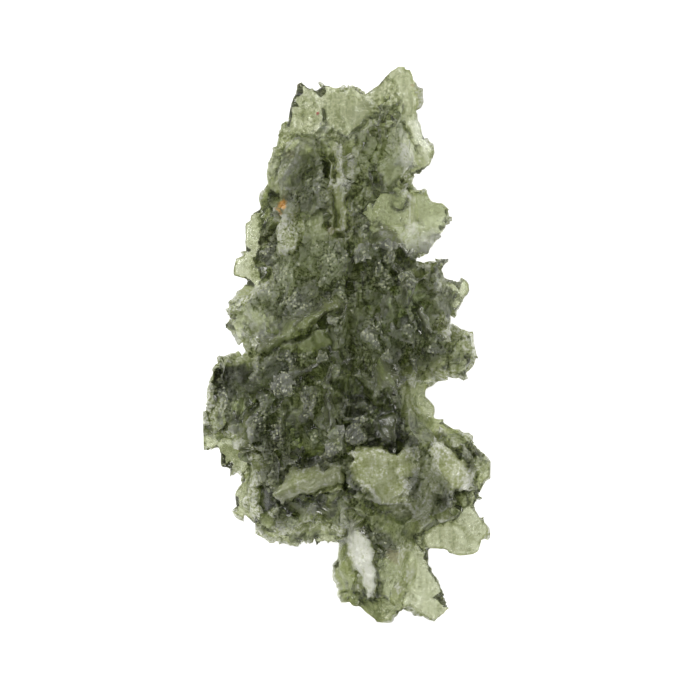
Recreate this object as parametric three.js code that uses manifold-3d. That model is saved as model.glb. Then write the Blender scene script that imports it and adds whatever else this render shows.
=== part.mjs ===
// A natural moldavite, drawn as it lies on its back: one thin, deeply etched piece of green glass.
// Millimetres. +X runs across the stone, +Y along it towards its two horns, and +Z up from the surface
// that it rests on. The origin is under the middle of its bounding box, on that surface.
import * as THREE from "three";
import { mergeVertices } from "three/addons/utils/BufferGeometryUtils.js";
import Module from "manifold-3d";

// Driving dimensions. Outline and ridge points below are drawn on a stone of this length and width.
const stoneLength = 37.6;
const stoneWidth = 19.4;
const gridStep = 0.58; // spacing of the surface's vertices
const gridMargin = 0.8; // how far the grid reaches past the outline before it is trimmed
const restPlane = 1.4; // the underside's crests are worn flat at this height
const rimWander = { reach: 0.55, wave: 2.3 }; // how far the rim wanders up and down, and over what length
// How far the ridges and hollows stray from the lines drawn below, and over what length.
const stray = [
  { reach: 0.55, wave: 2.7 },
  { reach: 0.22, wave: 1.2 },
];

// The rim, seen from above, one stretch at a time, clockwise from the left horn's tip.
const rim = {
  horns: [
    [-3.1, 17.8], [-2.6, 17.4], [-2.1, 17.2], [-1.7, 17.6], [-1.4, 17.6], [-0.9, 17.4], [-0.2, 17.2],
    [0.4, 17.4], [0.7, 17.3], [1.2, 16.9], [1.6, 17.2], [2.1, 17.5], [2.5, 18.0], [2.9, 18.4],
    [3.5, 18.8], [3.8, 18.8], [4.0, 18.5], [4.2, 18.6], [4.4, 18.2],
  ],
  rightWing: [
    [4.5, 17.4], [4.8, 16.4], [4.6, 15.7], [4.7, 15.3], [5.0, 14.8], [5.1, 14.3], [5.5, 13.7],
    [5.9, 13.2], [5.7, 12.9], [5.7, 12.3], [5.5, 12.0], [4.9, 11.4], [4.6, 11.5], [4.4, 11.2],
    [4.3, 10.9], [4.5, 10.6], [4.7, 10.4],
  ],
  paleLobe: [
    [5.3, 10.4], [5.5, 9.9], [5.7, 9.6], [6.4, 9.5], [6.7, 9.2], [6.9, 8.5], [6.7, 7.9],
    [6.3, 7.3], [5.9, 6.8], [5.6, 6.3], [5.5, 6.0], [4.9, 5.85], [4.5, 5.75],
  ],
  darkSpurs: [
    [4.9, 5.55], [5.4, 5.6], [6.4, 5.9], [7.0, 5.8], [6.9, 5.5], [6.7, 5.4], [6.6, 5.0],
    [6.7, 4.6], [7.3, 4.4], [8.0, 4.3], [8.2, 4.0], [8.2, 3.6], [7.8, 3.0], [7.5, 2.5],
    [6.9, 1.9], [6.7, 1.3], [7.4, 0.9],
  ],
  rightBlock: [
    [8.3, 0.8], [8.4, 0.6], [8.4, 0.1], [8.5, -0.8], [8.5, -1.2], [8.3, -1.7], [7.9, -2.0],
    [7.2, -2.2], [6.7, -2.4], [5.4, -2.7], [5.3, -3.1], [5.3, -3.5],
  ],
  lowerRightLobe: [
    [5.9, -4.2], [5.9, -4.6], [5.8, -5.0], [6.5, -5.1], [6.8, -5.4], [7.3, -5.8], [7.6, -5.8],
    [7.9, -6.0], [8.5, -6.2], [8.8, -6.8], [9.3, -7.3], [9.7, -8.0], [9.6, -8.9], [9.2, -9.2],
    [9.1, -9.7], [8.9, -10.1], [8.9, -10.5], [8.5, -11.0],
  ],
  clearFlange: [
    [8.8, -11.4], [9.2, -12.0], [9.5, -12.2], [9.5, -12.8], [9.1, -13.2], [8.9, -14.0], [8.5, -14.2],
    [7.6, -14.3], [6.9, -14.1], [6.7, -13.8], [5.5, -13.8], [5.6, -14.5], [5.5, -14.8],
  ],
  tail: [
    [6.0, -15.7], [6.3, -16.2], [6.7, -17.0], [6.9, -17.8], [6.6, -18.2], [5.9, -18.8], [5.2, -18.3],
    [4.7, -18.1], [4.4, -17.7], [4.2, -17.6], [3.7, -18.1], [3.1, -18.2], [2.9, -18.6],
    [2.1, -18.7], [1.7, -18.4], [1.3, -18.1], [0.9, -17.7], [0.4, -17.6], [0.1, -17.2], [-0.3, -16.0],
    [-0.7, -15.6], [-0.9, -14.9], [-0.6, -14.4], [-0.6, -13.8], [-0.5, -13.1],
  ],
  teeth: [
    [-0.9, -13.4], [-1.1, -13.2], [-1.3, -13.5], [-1.4, -13.2], [-2.1, -13.6], [-2.2, -13.1],
    [-2.8, -13.2], [-3.4, -13.7], [-4.1, -13.2], [-4.4, -13.2], [-4.8, -13.0], [-5.1, -13.0],
    [-5.9, -12.2], [-6.3, -12.1], [-6.9, -11.4], [-7.1, -11.7],
  ],
  lowerLeftLobe: [
    [-7.4, -11.5], [-7.4, -11.2], [-7.6, -10.8], [-7.7, -10.3], [-7.4, -9.7], [-7.1, -9.4],
    [-7.1, -8.6], [-7.7, -8.6], [-8.1, -8.5], [-8.7, -8.2], [-8.6, -7.0],
  ],
  leftBlock: [
    [-9.4, -7.0], [-9.6, -6.8], [-9.7, -6.4], [-9.5, -5.8], [-9.3, -5.0], [-8.9, -4.0], [-9.1, -3.5],
    [-9.2, -3.0], [-9.1, -2.2], [-9.1, -1.6], [-8.8, -1.2], [-8.6, -0.7], [-8.2, -0.7], [-7.9, -0.8],
    [-7.3, -0.8], [-6.8, -0.6], [-6.3, -0.7],
  ],
  leftSpur: [
    [-6.8, -0.2], [-6.9, 0.2], [-7.3, 0.3], [-7.6, 0.7], [-8.4, 1.2], [-8.4, 1.4], [-8.1, 1.8],
    [-7.9, 2.2], [-7.7, 2.5], [-7.8, 2.8], [-7.5, 3.1], [-7.5, 3.6], [-7.1, 3.8], [-6.7, 4.4],
  ],
  leftFlange: [
    [-7.4, 4.6], [-7.7, 4.7], [-7.7, 5.1], [-7.5, 5.8], [-7.0, 5.9], [-6.9, 6.4], [-6.9, 8.2],
    [-6.6, 8.4], [-6.5, 8.8], [-5.9, 9.2],
  ],
  leftEdge: [
    [-5.7, 10.2], [-5.4, 10.9], [-5.3, 11.6], [-5.2, 12.2], [-4.8, 12.9], [-4.6, 13.6], [-4.3, 14.6],
    [-4.0, 15.1], [-3.9, 15.8], [-3.7, 16.5], [-3.5, 17.0], [-3.4, 17.6],
  ],
};

// How the glass thins towards the rim. At each place: the rim's height, half its thickness, how wide the
// thin margin is, and how fast it thickens across that margin.
const margins = [
  { at: [-0.5, 17.2], height: 4.4, half: 0.26, width: 2.6, rise: 0.36 },
  { at: [3.9, 18.0], height: 4.2, half: 0.2, width: 1.6, rise: 0.4 },
  { at: [5.2, 13.6], height: 3.9, half: 0.19, width: 1.2, rise: 0.35 },
  { at: [4.4, 11.0], height: 4.2, half: 0.33, width: 0.4, rise: 0.8 },
  { at: [6.5, 8.3], height: 3.9, half: 0.25, width: 2.4, rise: 0.32 },
  { at: [6.8, 5.6], height: 5.6, half: 0.22, width: 0.5, rise: 0.9 },
  { at: [8.0, 4.0], height: 4.9, half: 0.17, width: 1.0, rise: 0.5 },
  { at: [8.4, 0.0], height: 4.8, half: 0.44, width: 0.2, rise: 1.4 },
  { at: [5.6, -4.2], height: 3.7, half: 0.22, width: 1.0, rise: 0.35 },
  { at: [9.2, -8.3], height: 4.5, half: 0.22, width: 0.7, rise: 0.6 },
  { at: [8.4, -13.2], height: 3.6, half: 0.19, width: 2.2, rise: 0.16 },
  { at: [6.2, -17.4], height: 3.7, half: 0.22, width: 1.8, rise: 0.35 },
  { at: [1.6, -18.0], height: 4.1, half: 0.25, width: 0.9, rise: 0.6 },
  { at: [-0.7, -15.0], height: 4.3, half: 0.28, width: 0.6, rise: 0.7 },
  { at: [-3.0, -13.2], height: 4.4, half: 0.19, width: 0.6, rise: 0.6 },
  { at: [-7.3, -10.6], height: 4.3, half: 0.19, width: 0.7, rise: 0.5 },
  { at: [-8.2, -7.9], height: 3.5, half: 0.22, width: 1.4, rise: 0.25 },
  { at: [-9.2, -3.5], height: 4.9, half: 0.39, width: 0.3, rise: 1.2 },
  { at: [-8.1, 1.5], height: 4.7, half: 0.22, width: 0.5, rise: 0.8 },
  { at: [-7.3, 5.6], height: 3.5, half: 0.17, width: 1.0, rise: 0.15 },
  { at: [-6.6, 7.6], height: 3.7, half: 0.17, width: 0.9, rise: 0.2 },
  { at: [-5.0, 12.4], height: 4.3, half: 0.22, width: 0.5, rise: 0.8 },
  { at: [-3.5, 16.5], height: 4.5, half: 0.19, width: 1.2, rise: 0.4 },
];
const bodyRise = 2.4; // how fast the glass thickens inside its margin

// Ridges of the upper face: points [x, y, height of the crest], and how steeply the glass falls away to
// the left and to the right of the line.
const upperRidges = [
  // Thin top and its two horns
  {
    line: [
      [-3.1, 17.6, 4.8], [-3.2, 16.2, 5.1], [-3.6, 15.2, 5.3], [-3.2, 14.9, 5.3],
      [-2.2, 15.3, 5.2],
    ],
    fall: [0.5, 0.7],
  },
  { line: [[-1.6, 17.5, 4.9], [-1.2, 16.2, 5.1], [-0.9, 15.0, 5.4]], fall: [0.3, 0.15] },
  { line: [[0.6, 17.3, 5.0], [0.9, 16.4, 5.1], [1.4, 15.6, 5.3]], fall: [0.4, 0.2] },
  {
    line: [
      [-4.1, 13.8, 5.3], [-3.0, 14.1, 5.9], [-1.1, 14.4, 6.2], [0.3, 14.3, 6.3],
      [2.1, 15.4, 6.0], [2.5, 16.2, 5.5],
    ],
    fall: [1.3, 0.25],
  },
  {
    line: [
      [2.5, 17.4, 5.0], [2.6, 15.0, 6.0], [2.5, 12.3, 6.4], [2.2, 10.6, 6.5],
    ],
    fall: [0.9, 1.1],
  },
  {
    line: [
      [3.3, 17.7, 4.9], [3.5, 15.6, 5.6], [3.3, 13.0, 6.0], [3.0, 11.3, 6.1],
    ],
    fall: [0.8, 0.9],
  },
  {
    line: [
      [3.8, 18.5, 4.6], [4.1, 16.3, 4.9], [4.6, 14.6, 5.0], [5.4, 13.4, 4.8],
    ],
    fall: [0.5, 0.5],
  },
  // Long columns down the middle of the upper half
  {
    line: [
      [-0.2, 13.6, 6.6], [-0.3, 10.3, 7.0], [-0.1, 7.6, 7.1], [0.2, 5.5, 7.2], [0.3, 3.6, 7.4],
    ],
    fall: [1.3, 1.3],
  },
  { line: [[-1.4, 12.4, 6.5], [-1.6, 9.4, 6.8], [-1.3, 6.4, 7.0]], fall: [1.1, 1.1] },
  { line: [[1.7, 14.0, 6.5], [1.7, 11.6, 6.9], [1.2, 8.6, 6.9]], fall: [1.2, 1.2] },
  {
    line: [
      [-2.8, 13.6, 6.0], [-3.8, 12.0, 6.4], [-4.5, 9.6, 6.5], [-5.1, 7.2, 6.3], [-5.5, 5.2, 6.0],
    ],
    fall: [0.8, 1.3],
  },
  { line: [[-3.0, 9.8, 6.9], [-3.6, 7.9, 6.8], [-3.2, 6.2, 6.9]], fall: [0.8, 0.8] },
  // Pale lobe on the upper right
  {
    line: [
      [2.5, 10.6, 6.5], [1.5, 9.6, 6.7], [1.0, 8.2, 6.8], [1.2, 6.7, 6.9],
    ],
    fall: [0.42, 1.4],
  },
  {
    line: [
      [2.6, 10.4, 6.3], [4.2, 10.2, 5.5], [5.4, 10.0, 5.2], [6.5, 9.1, 4.9],
    ],
    fall: [0.8, 0.35],
  },
  // Left spur and the band that runs up from it
  { line: [[-6.6, 5.2, 5.0], [-5.3, 5.6, 6.0], [-3.6, 6.3, 6.8]], fall: [0.7, 0.7] },
  { line: [[-6.9, 3.6, 5.4], [-5.4, 3.9, 6.2], [-3.6, 4.6, 6.9]], fall: [0.9, 0.6] },
  {
    line: [
      [-8.1, 1.5, 5.0], [-7.1, 2.1, 5.7], [-5.7, 2.6, 6.4], [-3.8, 3.3, 7.0], [-1.8, 4.2, 7.4],
    ],
    fall: [0.9, 0.5],
  },
  {
    line: [
      [-7.2, 0.5, 5.2], [-5.7, 0.4, 6.1], [-4.1, 1.1, 6.9], [-2.5, 2.2, 7.5], [-0.8, 3.1, 7.8],
    ],
    fall: [0.35, 1.5],
  },
  // Dark spurs on the right
  {
    line: [
      [2.4, 6.5, 8.1], [3.5, 6.5, 8.3], [4.3, 5.9, 7.7], [5.5, 5.6, 6.9], [6.8, 5.7, 6.0],
    ],
    fall: [2.6, 0.7],
  },
  { line: [[2.5, 6.2, 8.1], [3.3, 4.9, 8.5], [4.1, 3.0, 8.4], [4.5, 1.2, 8.3]], fall: [1.0, 0.9] },
  { line: [[4.0, 4.4, 7.9], [6.2, 4.1, 6.4], [8.0, 4.0, 5.2]], fall: [0.8, 0.8] },
  { line: [[4.5, 2.4, 7.8], [6.1, 2.4, 6.3], [7.2, 2.6, 5.4]], fall: [0.8, 1.0] },
  { line: [[3.9, 0.7, 8.3], [5.9, 0.6, 7.4], [8.2, 0.6, 6.3]], fall: [1.0, 0.6] },
  { line: [[3.5, -0.7, 8.0], [6.0, -0.6, 7.2], [8.3, -0.6, 6.4]], fall: [0.9, 0.9] },
  {
    line: [
      [1.3, 1.0, 8.0], [2.7, -0.5, 8.2], [3.4, -1.8, 8.1], [5.4, -2.1, 7.0], [7.7, -1.6, 6.0],
    ],
    fall: [1.3, 1.9],
  },
  // The middle, from the band down to the smooth lobe
  {
    line: [
      [-0.5, 2.6, 7.9], [-0.8, 0.3, 8.0], [-1.1, -2.4, 8.1], [-1.4, -5.0, 8.0],
      [-1.4, -7.6, 7.8],
    ],
    fall: [1.2, 1.4],
  },
  {
    line: [
      [1.7, 0.0, 7.6], [1.9, -2.0, 7.5], [2.5, -3.7, 7.5], [3.3, -5.7, 7.6], [3.4, -7.0, 7.4],
    ],
    fall: [1.0, 1.8],
  },
  { line: [[0.4, -1.0, 7.5], [0.2, -3.4, 7.4], [0.6, -5.6, 7.2]], fall: [1.2, 1.2] },
  // Left block, with its upright ribs and slanting lower crest
  {
    line: [
      [-8.6, -1.1, 5.9], [-8.9, -2.7, 6.0], [-8.7, -4.0, 6.0], [-9.2, -5.7, 5.7],
      [-9.4, -6.7, 5.4],
    ],
    fall: [1.4, 1.0],
  },
  {
    line: [
      [-8.1, -1.2, 6.5], [-8.0, -3.0, 6.7], [-8.2, -5.0, 6.5], [-8.7, -6.4, 5.9],
    ],
    fall: [1.2, 1.4],
  },
  {
    line: [
      [-8.3, -0.9, 6.2], [-6.5, -0.9, 6.9], [-5.0, -0.7, 7.2], [-3.1, 0.0, 7.4],
    ],
    fall: [1.8, 0.6],
  },
  { line: [[-6.0, -1.2, 7.2], [-6.2, -2.4, 7.1], [-6.6, -3.8, 6.7]], fall: [1.1, 0.9] },
  {
    line: [
      [-9.1, -6.7, 5.5], [-7.7, -6.2, 6.1], [-6.3, -5.1, 7.0], [-5.1, -3.7, 7.6],
      [-4.0, -2.5, 8.0], [-2.5, -1.2, 8.2], [-1.1, -0.4, 8.1],
    ],
    fall: [0.6, 1.6],
  },
  { line: [[-8.8, -6.9, 5.2], [-7.4, -6.6, 5.7], [-6.5, -6.4, 6.4]], fall: [0.8, 1.6] },
  // Second lobe on the lower left
  {
    line: [
      [-6.3, -5.3, 7.1], [-6.3, -6.4, 7.0], [-6.8, -7.7, 6.6], [-6.9, -9.0, 6.3],
      [-6.4, -10.4, 6.4], [-5.8, -11.5, 6.1],
    ],
    fall: [0.8, 1.5],
  },
  { line: [[-5.4, -5.3, 7.4], [-4.8, -7.0, 7.4], [-4.1, -8.4, 7.3]], fall: [1.0, 1.0] },
  { line: [[-3.3, -3.4, 7.9], [-3.2, -5.4, 7.6], [-2.4, -6.6, 7.5]], fall: [1.1, 1.1] },
  {
    line: [
      [-5.0, -10.1, 7.3], [-3.1, -9.2, 7.9], [-0.8, -8.6, 8.3], [0.7, -8.0, 8.4],
      [2.4, -7.5, 8.1],
    ],
    fall: [1.3, 0.9],
  },
  { line: [[-4.4, -11.0, 6.7], [-2.5, -11.1, 7.0], [-0.9, -10.3, 7.4]], fall: [0.9, 1.2] },
  { line: [[-4.8, -12.7, 5.5], [-3.8, -11.9, 6.2], [-3.0, -11.2, 6.7]], fall: [0.9, 0.9] },
  { line: [[-2.1, -13.3, 5.2], [-1.9, -12.2, 6.0], [-1.5, -11.0, 6.7]], fall: [1.0, 1.0] },
  { line: [[-3.3, -13.4, 4.9], [-3.2, -12.2, 5.8]], fall: [0.8, 0.8] },
  // Smooth lobe and the lower right
  {
    line: [
      [0.7, -8.0, 8.4], [2.4, -8.6, 8.2], [4.2, -9.6, 7.5], [4.9, -11.0, 6.8],
    ],
    fall: [0.5, 0.55],
  },
  {
    line: [
      [3.4, -5.9, 7.4], [5.2, -5.9, 6.8], [6.9, -6.4, 6.5], [8.3, -7.6, 6.2], [8.8, -8.9, 5.8],
    ],
    fall: [1.1, 0.35],
  },
  { line: [[5.0, -8.6, 7.0], [7.0, -9.4, 6.6], [8.6, -10.2, 5.9]], fall: [0.3, 1.1] },
  { line: [[5.2, -11.6, 6.2], [7.0, -11.5, 5.8], [8.9, -12.1, 5.1]], fall: [0.7, 1.3] },
  { line: [[6.0, -12.9, 4.5], [8.7, -13.3, 4.4]], fall: [0.2, 0.2] },
  // Tail: two crests with a narrow bright face between them, and its two points
  {
    line: [
      [-0.1, -10.4, 7.6], [0.1, -12.4, 6.9], [0.3, -14.4, 6.4], [1.2, -16.3, 5.8],
    ],
    fall: [0.25, 1.4],
  },
  {
    line: [
      [0.5, -11.0, 7.7], [1.6, -13.4, 7.1], [1.7, -15.0, 6.6], [1.4, -16.5, 5.9],
    ],
    fall: [0.5, 0.9],
  },
  {
    line: [
      [-0.2, -16.2, 5.3], [0.9, -16.5, 5.7], [2.1, -17.0, 5.5], [3.2, -17.7, 4.9],
    ],
    fall: [0.6, 1.0],
  },
  {
    line: [
      [2.2, -11.4, 7.1], [3.2, -13.8, 6.3], [4.0, -15.6, 5.7], [4.4, -17.0, 5.1],
    ],
    fall: [0.35, 0.35],
  },
  { line: [[4.6, -14.4, 5.4], [5.5, -16.2, 5.2], [6.0, -18.1, 4.6]], fall: [0.4, 0.4] },
];

// Ridges of the underside: a low keel, and crests that run out from the feet. Heights are measured as above.
const lowerRidges = [
  {
    line: [
      [-1.0, 15.6, 3.8], [-1.6, 12.5, 3.1], [-0.9, 8.4, 2.8], [-1.4, 3.6, 2.6], [-1.2, -2.0, 2.3],
      [0.5, -5.0, 2.2], [-1.4, -8.0, 2.8], [0.2, -12.0, 3.0], [0.8, -14.4, 3.2], [1.2, -17.2, 3.7],
    ],
    fall: [0.8, 0.9],
  },
  // From the foot under the dark left half of the top
  { line: [[-2.6, 10.4, 0.7], [-4.6, 12.4, 3.2]], fall: [1.3, 1.1] },
  { line: [[-2.6, 10.4, 0.7], [0.8, 8.0, 2.9]], fall: [1.2, 1.3] },
  { line: [[-2.6, 10.4, 0.7], [-5.5, 7.4, 3.3]], fall: [1.1, 1.3] },
  // From the foot under the dark spurs
  { line: [[3.6, 3.9, 0.7], [6.6, 5.3, 3.2]], fall: [0.6, 0.7] },
  { line: [[3.6, 3.9, 0.7], [7.4, 3.4, 3.4]], fall: [0.7, 0.8] },
  { line: [[3.6, 3.9, 0.7], [4.0, 0.4, 1.7], [5.2, -1.4, 2.2]], fall: [0.7, 0.8] },
  { line: [[3.6, 3.9, 0.7], [0.8, 5.2, 2.6]], fall: [1.2, 1.0] },
  // From the foot under the left block
  { line: [[-6.0, -2.6, 0.7], [-8.8, -1.5, 3.0]], fall: [0.7, 0.7] },
  { line: [[-6.0, -2.6, 0.7], [-8.9, -6.0, 3.4]], fall: [0.8, 0.9] },
  { line: [[-6.0, -2.6, 0.7], [-1.8, -0.6, 1.8]], fall: [0.7, 0.9] },
  // From the foot under the dark middle
  { line: [[2.2, -4.4, 0.7], [1.4, 0.4, 1.9]], fall: [1.2, 1.1] },
  { line: [[2.2, -4.4, 0.7], [5.2, -3.7, 3.3]], fall: [1.2, 1.3] },
  { line: [[2.2, -4.4, 0.7], [-0.8, -6.2, 2.2]], fall: [1.1, 1.2] },
  // From the foot under the second lobe on the left
  { line: [[-4.4, -6.6, 0.7], [-7.2, -8.4, 3.0]], fall: [0.8, 0.9] },
  { line: [[-4.4, -6.6, 0.7], [-5.6, -9.6, 2.6], [-4.8, -12.2, 3.8]], fall: [1.2, 1.0] },
  { line: [[-4.4, -6.6, 0.7], [-1.2, -4.6, 2.2]], fall: [1.0, 1.2] },
  // From the foot on the lower right
  { line: [[6.2, -10.0, 0.7], [8.8, -10.2, 3.6]], fall: [1.4, 1.3] },
  { line: [[6.2, -10.0, 0.7], [4.4, -12.8, 3.0]], fall: [1.4, 1.3] },
  { line: [[6.2, -10.0, 0.7], [8.6, -7.4, 3.6]], fall: [1.5, 1.4] },
  // Out to the spur and the flange on the left, and to the teeth
  { line: [[-3.4, 3.4, 2.3], [-7.9, 1.6, 4.1]], fall: [0.9, 1.0] },
  { line: [[-2.6, 5.8, 2.6], [-6.8, 5.4, 3.3]], fall: [0.9, 0.9] },
  { line: [[-0.8, -10.2, 2.8], [-2.0, -13.0, 4.0]], fall: [1.0, 1.0] },
];

// Hollows in the underside, which leave the glass thin where it shows pale: centre, radius, and the height
// of the roof.
const vaults = [
  { at: [3.2, -8.9], radius: 2.8, roof: 6.0 },
  { at: [7.2, -7.4], radius: 1.8, roof: 5.0 },
  { at: [-1.2, -9.3], radius: 1.7, roof: 6.0 },
  { at: [-3.8, -9.8], radius: 1.3, roof: 5.6 },
  { at: [4.8, 8.4], radius: 2.8, roof: 4.6 },
  { at: [0.2, 10.6], radius: 1.5, roof: 4.6 },
  { at: [4.4, 12.6], radius: 1.6, roof: 4.5 },
  { at: [-4.7, -3.6], radius: 1.2, roof: 5.4 },
  { at: [-7.0, -5.2], radius: 1.0, roof: 4.4 },
  { at: [1.4, -13.6], radius: 1.5, roof: 5.2 },
  { at: [4.2, -15.4], radius: 2.0, roof: 4.4 },
  { at: [-6.4, 1.5], radius: 1.2, roof: 4.9 },
  { at: [-2.9, 3.4], radius: 1.2, roof: 5.2 },
  { at: [-3.8, 7.4], radius: 1.1, roof: 4.9 },
  { at: [6.9, -1.2], radius: 1.3, roof: 5.0 },
  { at: [4.8, -5.8], radius: 1.4, roof: 5.2 },
];
const vaultSpring = 2.4; // how far a vault's roof comes down at its radius
const leastGlass = 0.9; // least thickness over a vault

// The low points that the stone stands on, where crests meet below the rest plane. Nothing hollows the glass
// inside a cone that opens upwards from each.
const feet = [
  [-2.6, 10.4],
  [3.6, 3.9],
  [-6.0, -2.6],
  [2.2, -4.4],
  [-4.4, -6.6],
  [6.2, -10.0],
];
const footCone = { tip: 0.7, slope: 1.5, unpitted: 1.3 };

// Shell-shaped hollows in the upper face: centre, radius, height of the bottom, and how far the hollow
// climbs at that radius.
const hollows = [
  { at: [-2.5, 16.4], radius: 1.0, bottom: 4.8, climb: 0.7 },
  { at: [-2.8, 14.9], radius: 0.7, bottom: 5.0, climb: 0.5 },
  { at: [-0.2, 15.6], radius: 1.5, bottom: 5.0, climb: 0.5 },
  { at: [4.0, 13.6], radius: 0.6, bottom: 5.0, climb: 0.6 },
  { at: [5.4, 3.2], radius: 0.8, bottom: 5.9, climb: 0.9 },
  { at: [2.2, 3.4], radius: 1.5, bottom: 6.5, climb: 1.5 },
  { at: [-3.0, -0.7], radius: 0.9, bottom: 6.6, climb: 1.0 },
  { at: [-7.2, -3.6], radius: 1.1, bottom: 5.9, climb: 0.8 },
  { at: [-2.7, -7.6], radius: 0.8, bottom: 6.3, climb: 1.3 },
  { at: [-5.5, -9.8], radius: 0.6, bottom: 5.7, climb: 1.1 },
  { at: [0.9, -4.9], radius: 1.0, bottom: 6.2, climb: 1.3 },
  { at: [4.4, -0.9], radius: 0.8, bottom: 6.7, climb: 1.1 },
  { at: [7.0, -8.1], radius: 1.4, bottom: 5.8, climb: 0.6 },
  { at: [7.2, -13.1], radius: 1.6, bottom: 4.0, climb: 0.4 },
  { at: [-3.7, -11.4], radius: 0.7, bottom: 5.8, climb: 0.9 },
];

// Places where the etching is faint and the glass lies smooth: centre and radius.
const smoothPlaces = [
  { at: [-0.2, 15.8], radius: 2.0 },
  { at: [5.2, 8.0], radius: 2.3 },
  { at: [-3.0, -9.4], radius: 1.2 },
  { at: [-0.6, -8.7], radius: 1.2 },
  { at: [2.4, -8.6], radius: 2.2 },
  { at: [7.2, -8.2], radius: 1.6 },
  { at: [7.2, -13.2], radius: 2.0 },
  { at: [3.2, -15.0], radius: 2.4 },
  { at: [5.6, -16.6], radius: 1.8 },
  { at: [0.9, -13.6], radius: 1.2 },
];
const upperPits = { spacing: 1.5, depth: 0.55, seed: 11 };
const lowerPits = { spacing: 1.7, depth: 0.9, seed: 37 };
const grain = 0.12; // uneven height from one vertex to the next

// Spines that stand out sideways all round, mostly below the rim, so that the stone is ragged from every
// side. Lengths are in millimetres, and each range runs from the least to the greatest.
const spines = {
  spacing: 2.8,
  width: [1.3, 2.3],
  inset: [0.1, 1.2],
  root: [2.0, 3.4],
  drop: [0.4, 1.6],
  lift: [0.4, 1.2],
  leastRise: 0.45,
  upperShare: 0.25,
  lowest: 1.7,
};

// A repeatable random number from 0 to 1 for a grid cell.
function scatter(i, j, seed) {
  let h = Math.imul(i, 374761393) ^ Math.imul(j, 668265263) ^ Math.imul(seed, 1274126177);
  h = Math.imul(h ^ (h >>> 13), 1103515245);
  h ^= h >>> 16;
  return (h >>> 0) / 4294967296;
}

// Where a point falls on the plan in which the ridges and hollows are drawn.
function onPlan(x, y, sign) {
  const place = [x, y];
  stray.forEach((bend, k) => {
    place[0] += bend.reach * wander(x, y, bend.wave, 41 + 10 * k + sign);
    place[1] += bend.reach * wander(x, y, bend.wave, 45 + 10 * k + sign);
  });
  return place;
}

// Where a point stands beside one stretch of a line: its distance, how far along, and on which side.
function besideStretch(x, y, from, to) {
  const dx = to[0] - from[0];
  const dy = to[1] - from[1];
  const along = THREE.MathUtils.clamp(((x - from[0]) * dx + (y - from[1]) * dy) / (dx * dx + dy * dy), 0, 1);
  const footX = from[0] + dx * along;
  const footY = from[1] + dy * along;
  const onLeft = dx * (y - from[1]) - dy * (x - from[0]) > 0;
  return { distance: Math.hypot(x - footX, y - footY), along, footX, footY, onLeft };
}

// Height of one ridge over a point. sign is 1 on the upper face and -1 on the underside.
function ridgeHeight(ridge, x, y, sign) {
  let best = null;
  for (let i = 0; i + 1 < ridge.line.length; i++) {
    const from = ridge.line[i];
    const to = ridge.line[i + 1];
    const beside = besideStretch(x, y, from, to);
    const crest = THREE.MathUtils.lerp(from[2], to[2], beside.along);
    const height = crest - sign * beside.distance * ridge.fall[beside.onLeft ? 0 : 1];
    if (!best || sign * height > sign * best.height) best = { height, ...beside };
  }
  return best;
}

// The ridge that stands out furthest over a point.
function topRidge(ridges, x, y, sign) {
  let best = null;
  for (const ridge of ridges) {
    const found = ridgeHeight(ridge, x, y, sign);
    if (!best || sign * found.height > sign * best.height) best = found;
  }
  return best;
}

const outline = Object.values(rim).flat();

// The nearest place on the rim to a point, and whether the point is inside it.
function besideRim(x, y) {
  let nearest = { distance: Infinity };
  let inside = false;
  outline.forEach((from, i) => {
    const to = outline[(i + 1) % outline.length];
    const beside = besideStretch(x, y, from, to);
    if (beside.distance < nearest.distance) nearest = beside;
    const crosses = from[1] > y !== to[1] > y;
    if (crosses && x < ((to[0] - from[0]) * (y - from[1])) / (to[1] - from[1]) + from[0]) inside = !inside;
  });
  return { ...nearest, inside };
}

// A smooth random height from -1 to 1 that changes over the given length.
function wander(x, y, wave, seed) {
  const column = Math.floor(x / wave);
  const row = Math.floor(y / wave);
  const u = THREE.MathUtils.smoothstep(x / wave - column, 0, 1);
  const v = THREE.MathUtils.smoothstep(y / wave - row, 0, 1);
  const near = THREE.MathUtils.lerp(scatter(column, row, seed), scatter(column + 1, row, seed), u);
  const far = THREE.MathUtils.lerp(scatter(column, row + 1, seed), scatter(column + 1, row + 1, seed), u);
  return THREE.MathUtils.lerp(near, far, v) * 2 - 1;
}

// The margin that holds at a point, blended from the nearest ones.
function marginAt(x, y) {
  const blended = { height: 0, half: 0, width: 0, rise: 0 };
  let total = 0;
  for (const margin of margins) {
    const weight = 1 / (0.05 + Math.hypot(x - margin.at[0], y - margin.at[1])) ** 4;
    total += weight;
    for (const key of Object.keys(blended)) blended[key] += weight * margin[key];
  }
  for (const key of Object.keys(blended)) blended[key] /= total;
  blended.height += rimWander.reach * wander(x, y, rimWander.wave, 5);
  return blended;
}

// How strongly the etching bites at a point: 1 over most of the stone, less where it lies smooth.
function etchedAt(x, y) {
  let strength = 1;
  for (const place of smoothPlaces) {
    const away = Math.hypot(x - place.at[0], y - place.at[1]) / place.radius;
    strength = Math.min(strength, THREE.MathUtils.smoothstep(away, 0.6, 1.2) * 0.85 + 0.15);
  }
  return strength;
}

// Depth of the etched pits: rounded cups that meet in sharp edges.
function pitDepth(x, y, pits) {
  const column = Math.floor(x / pits.spacing);
  const row = Math.floor(y / pits.spacing);
  let nearest = Infinity;
  for (let i = column - 1; i <= column + 1; i++)
    for (let j = row - 1; j <= row + 1; j++) {
      const middleX = (i + scatter(i, j, pits.seed)) * pits.spacing;
      const middleY = (j + scatter(i, j, pits.seed + 1)) * pits.spacing;
      nearest = Math.min(nearest, Math.hypot(x - middleX, y - middleY) / pits.spacing);
    }
  return pits.depth * Math.max(0, 1 - nearest * nearest * 1.6);
}

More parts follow.
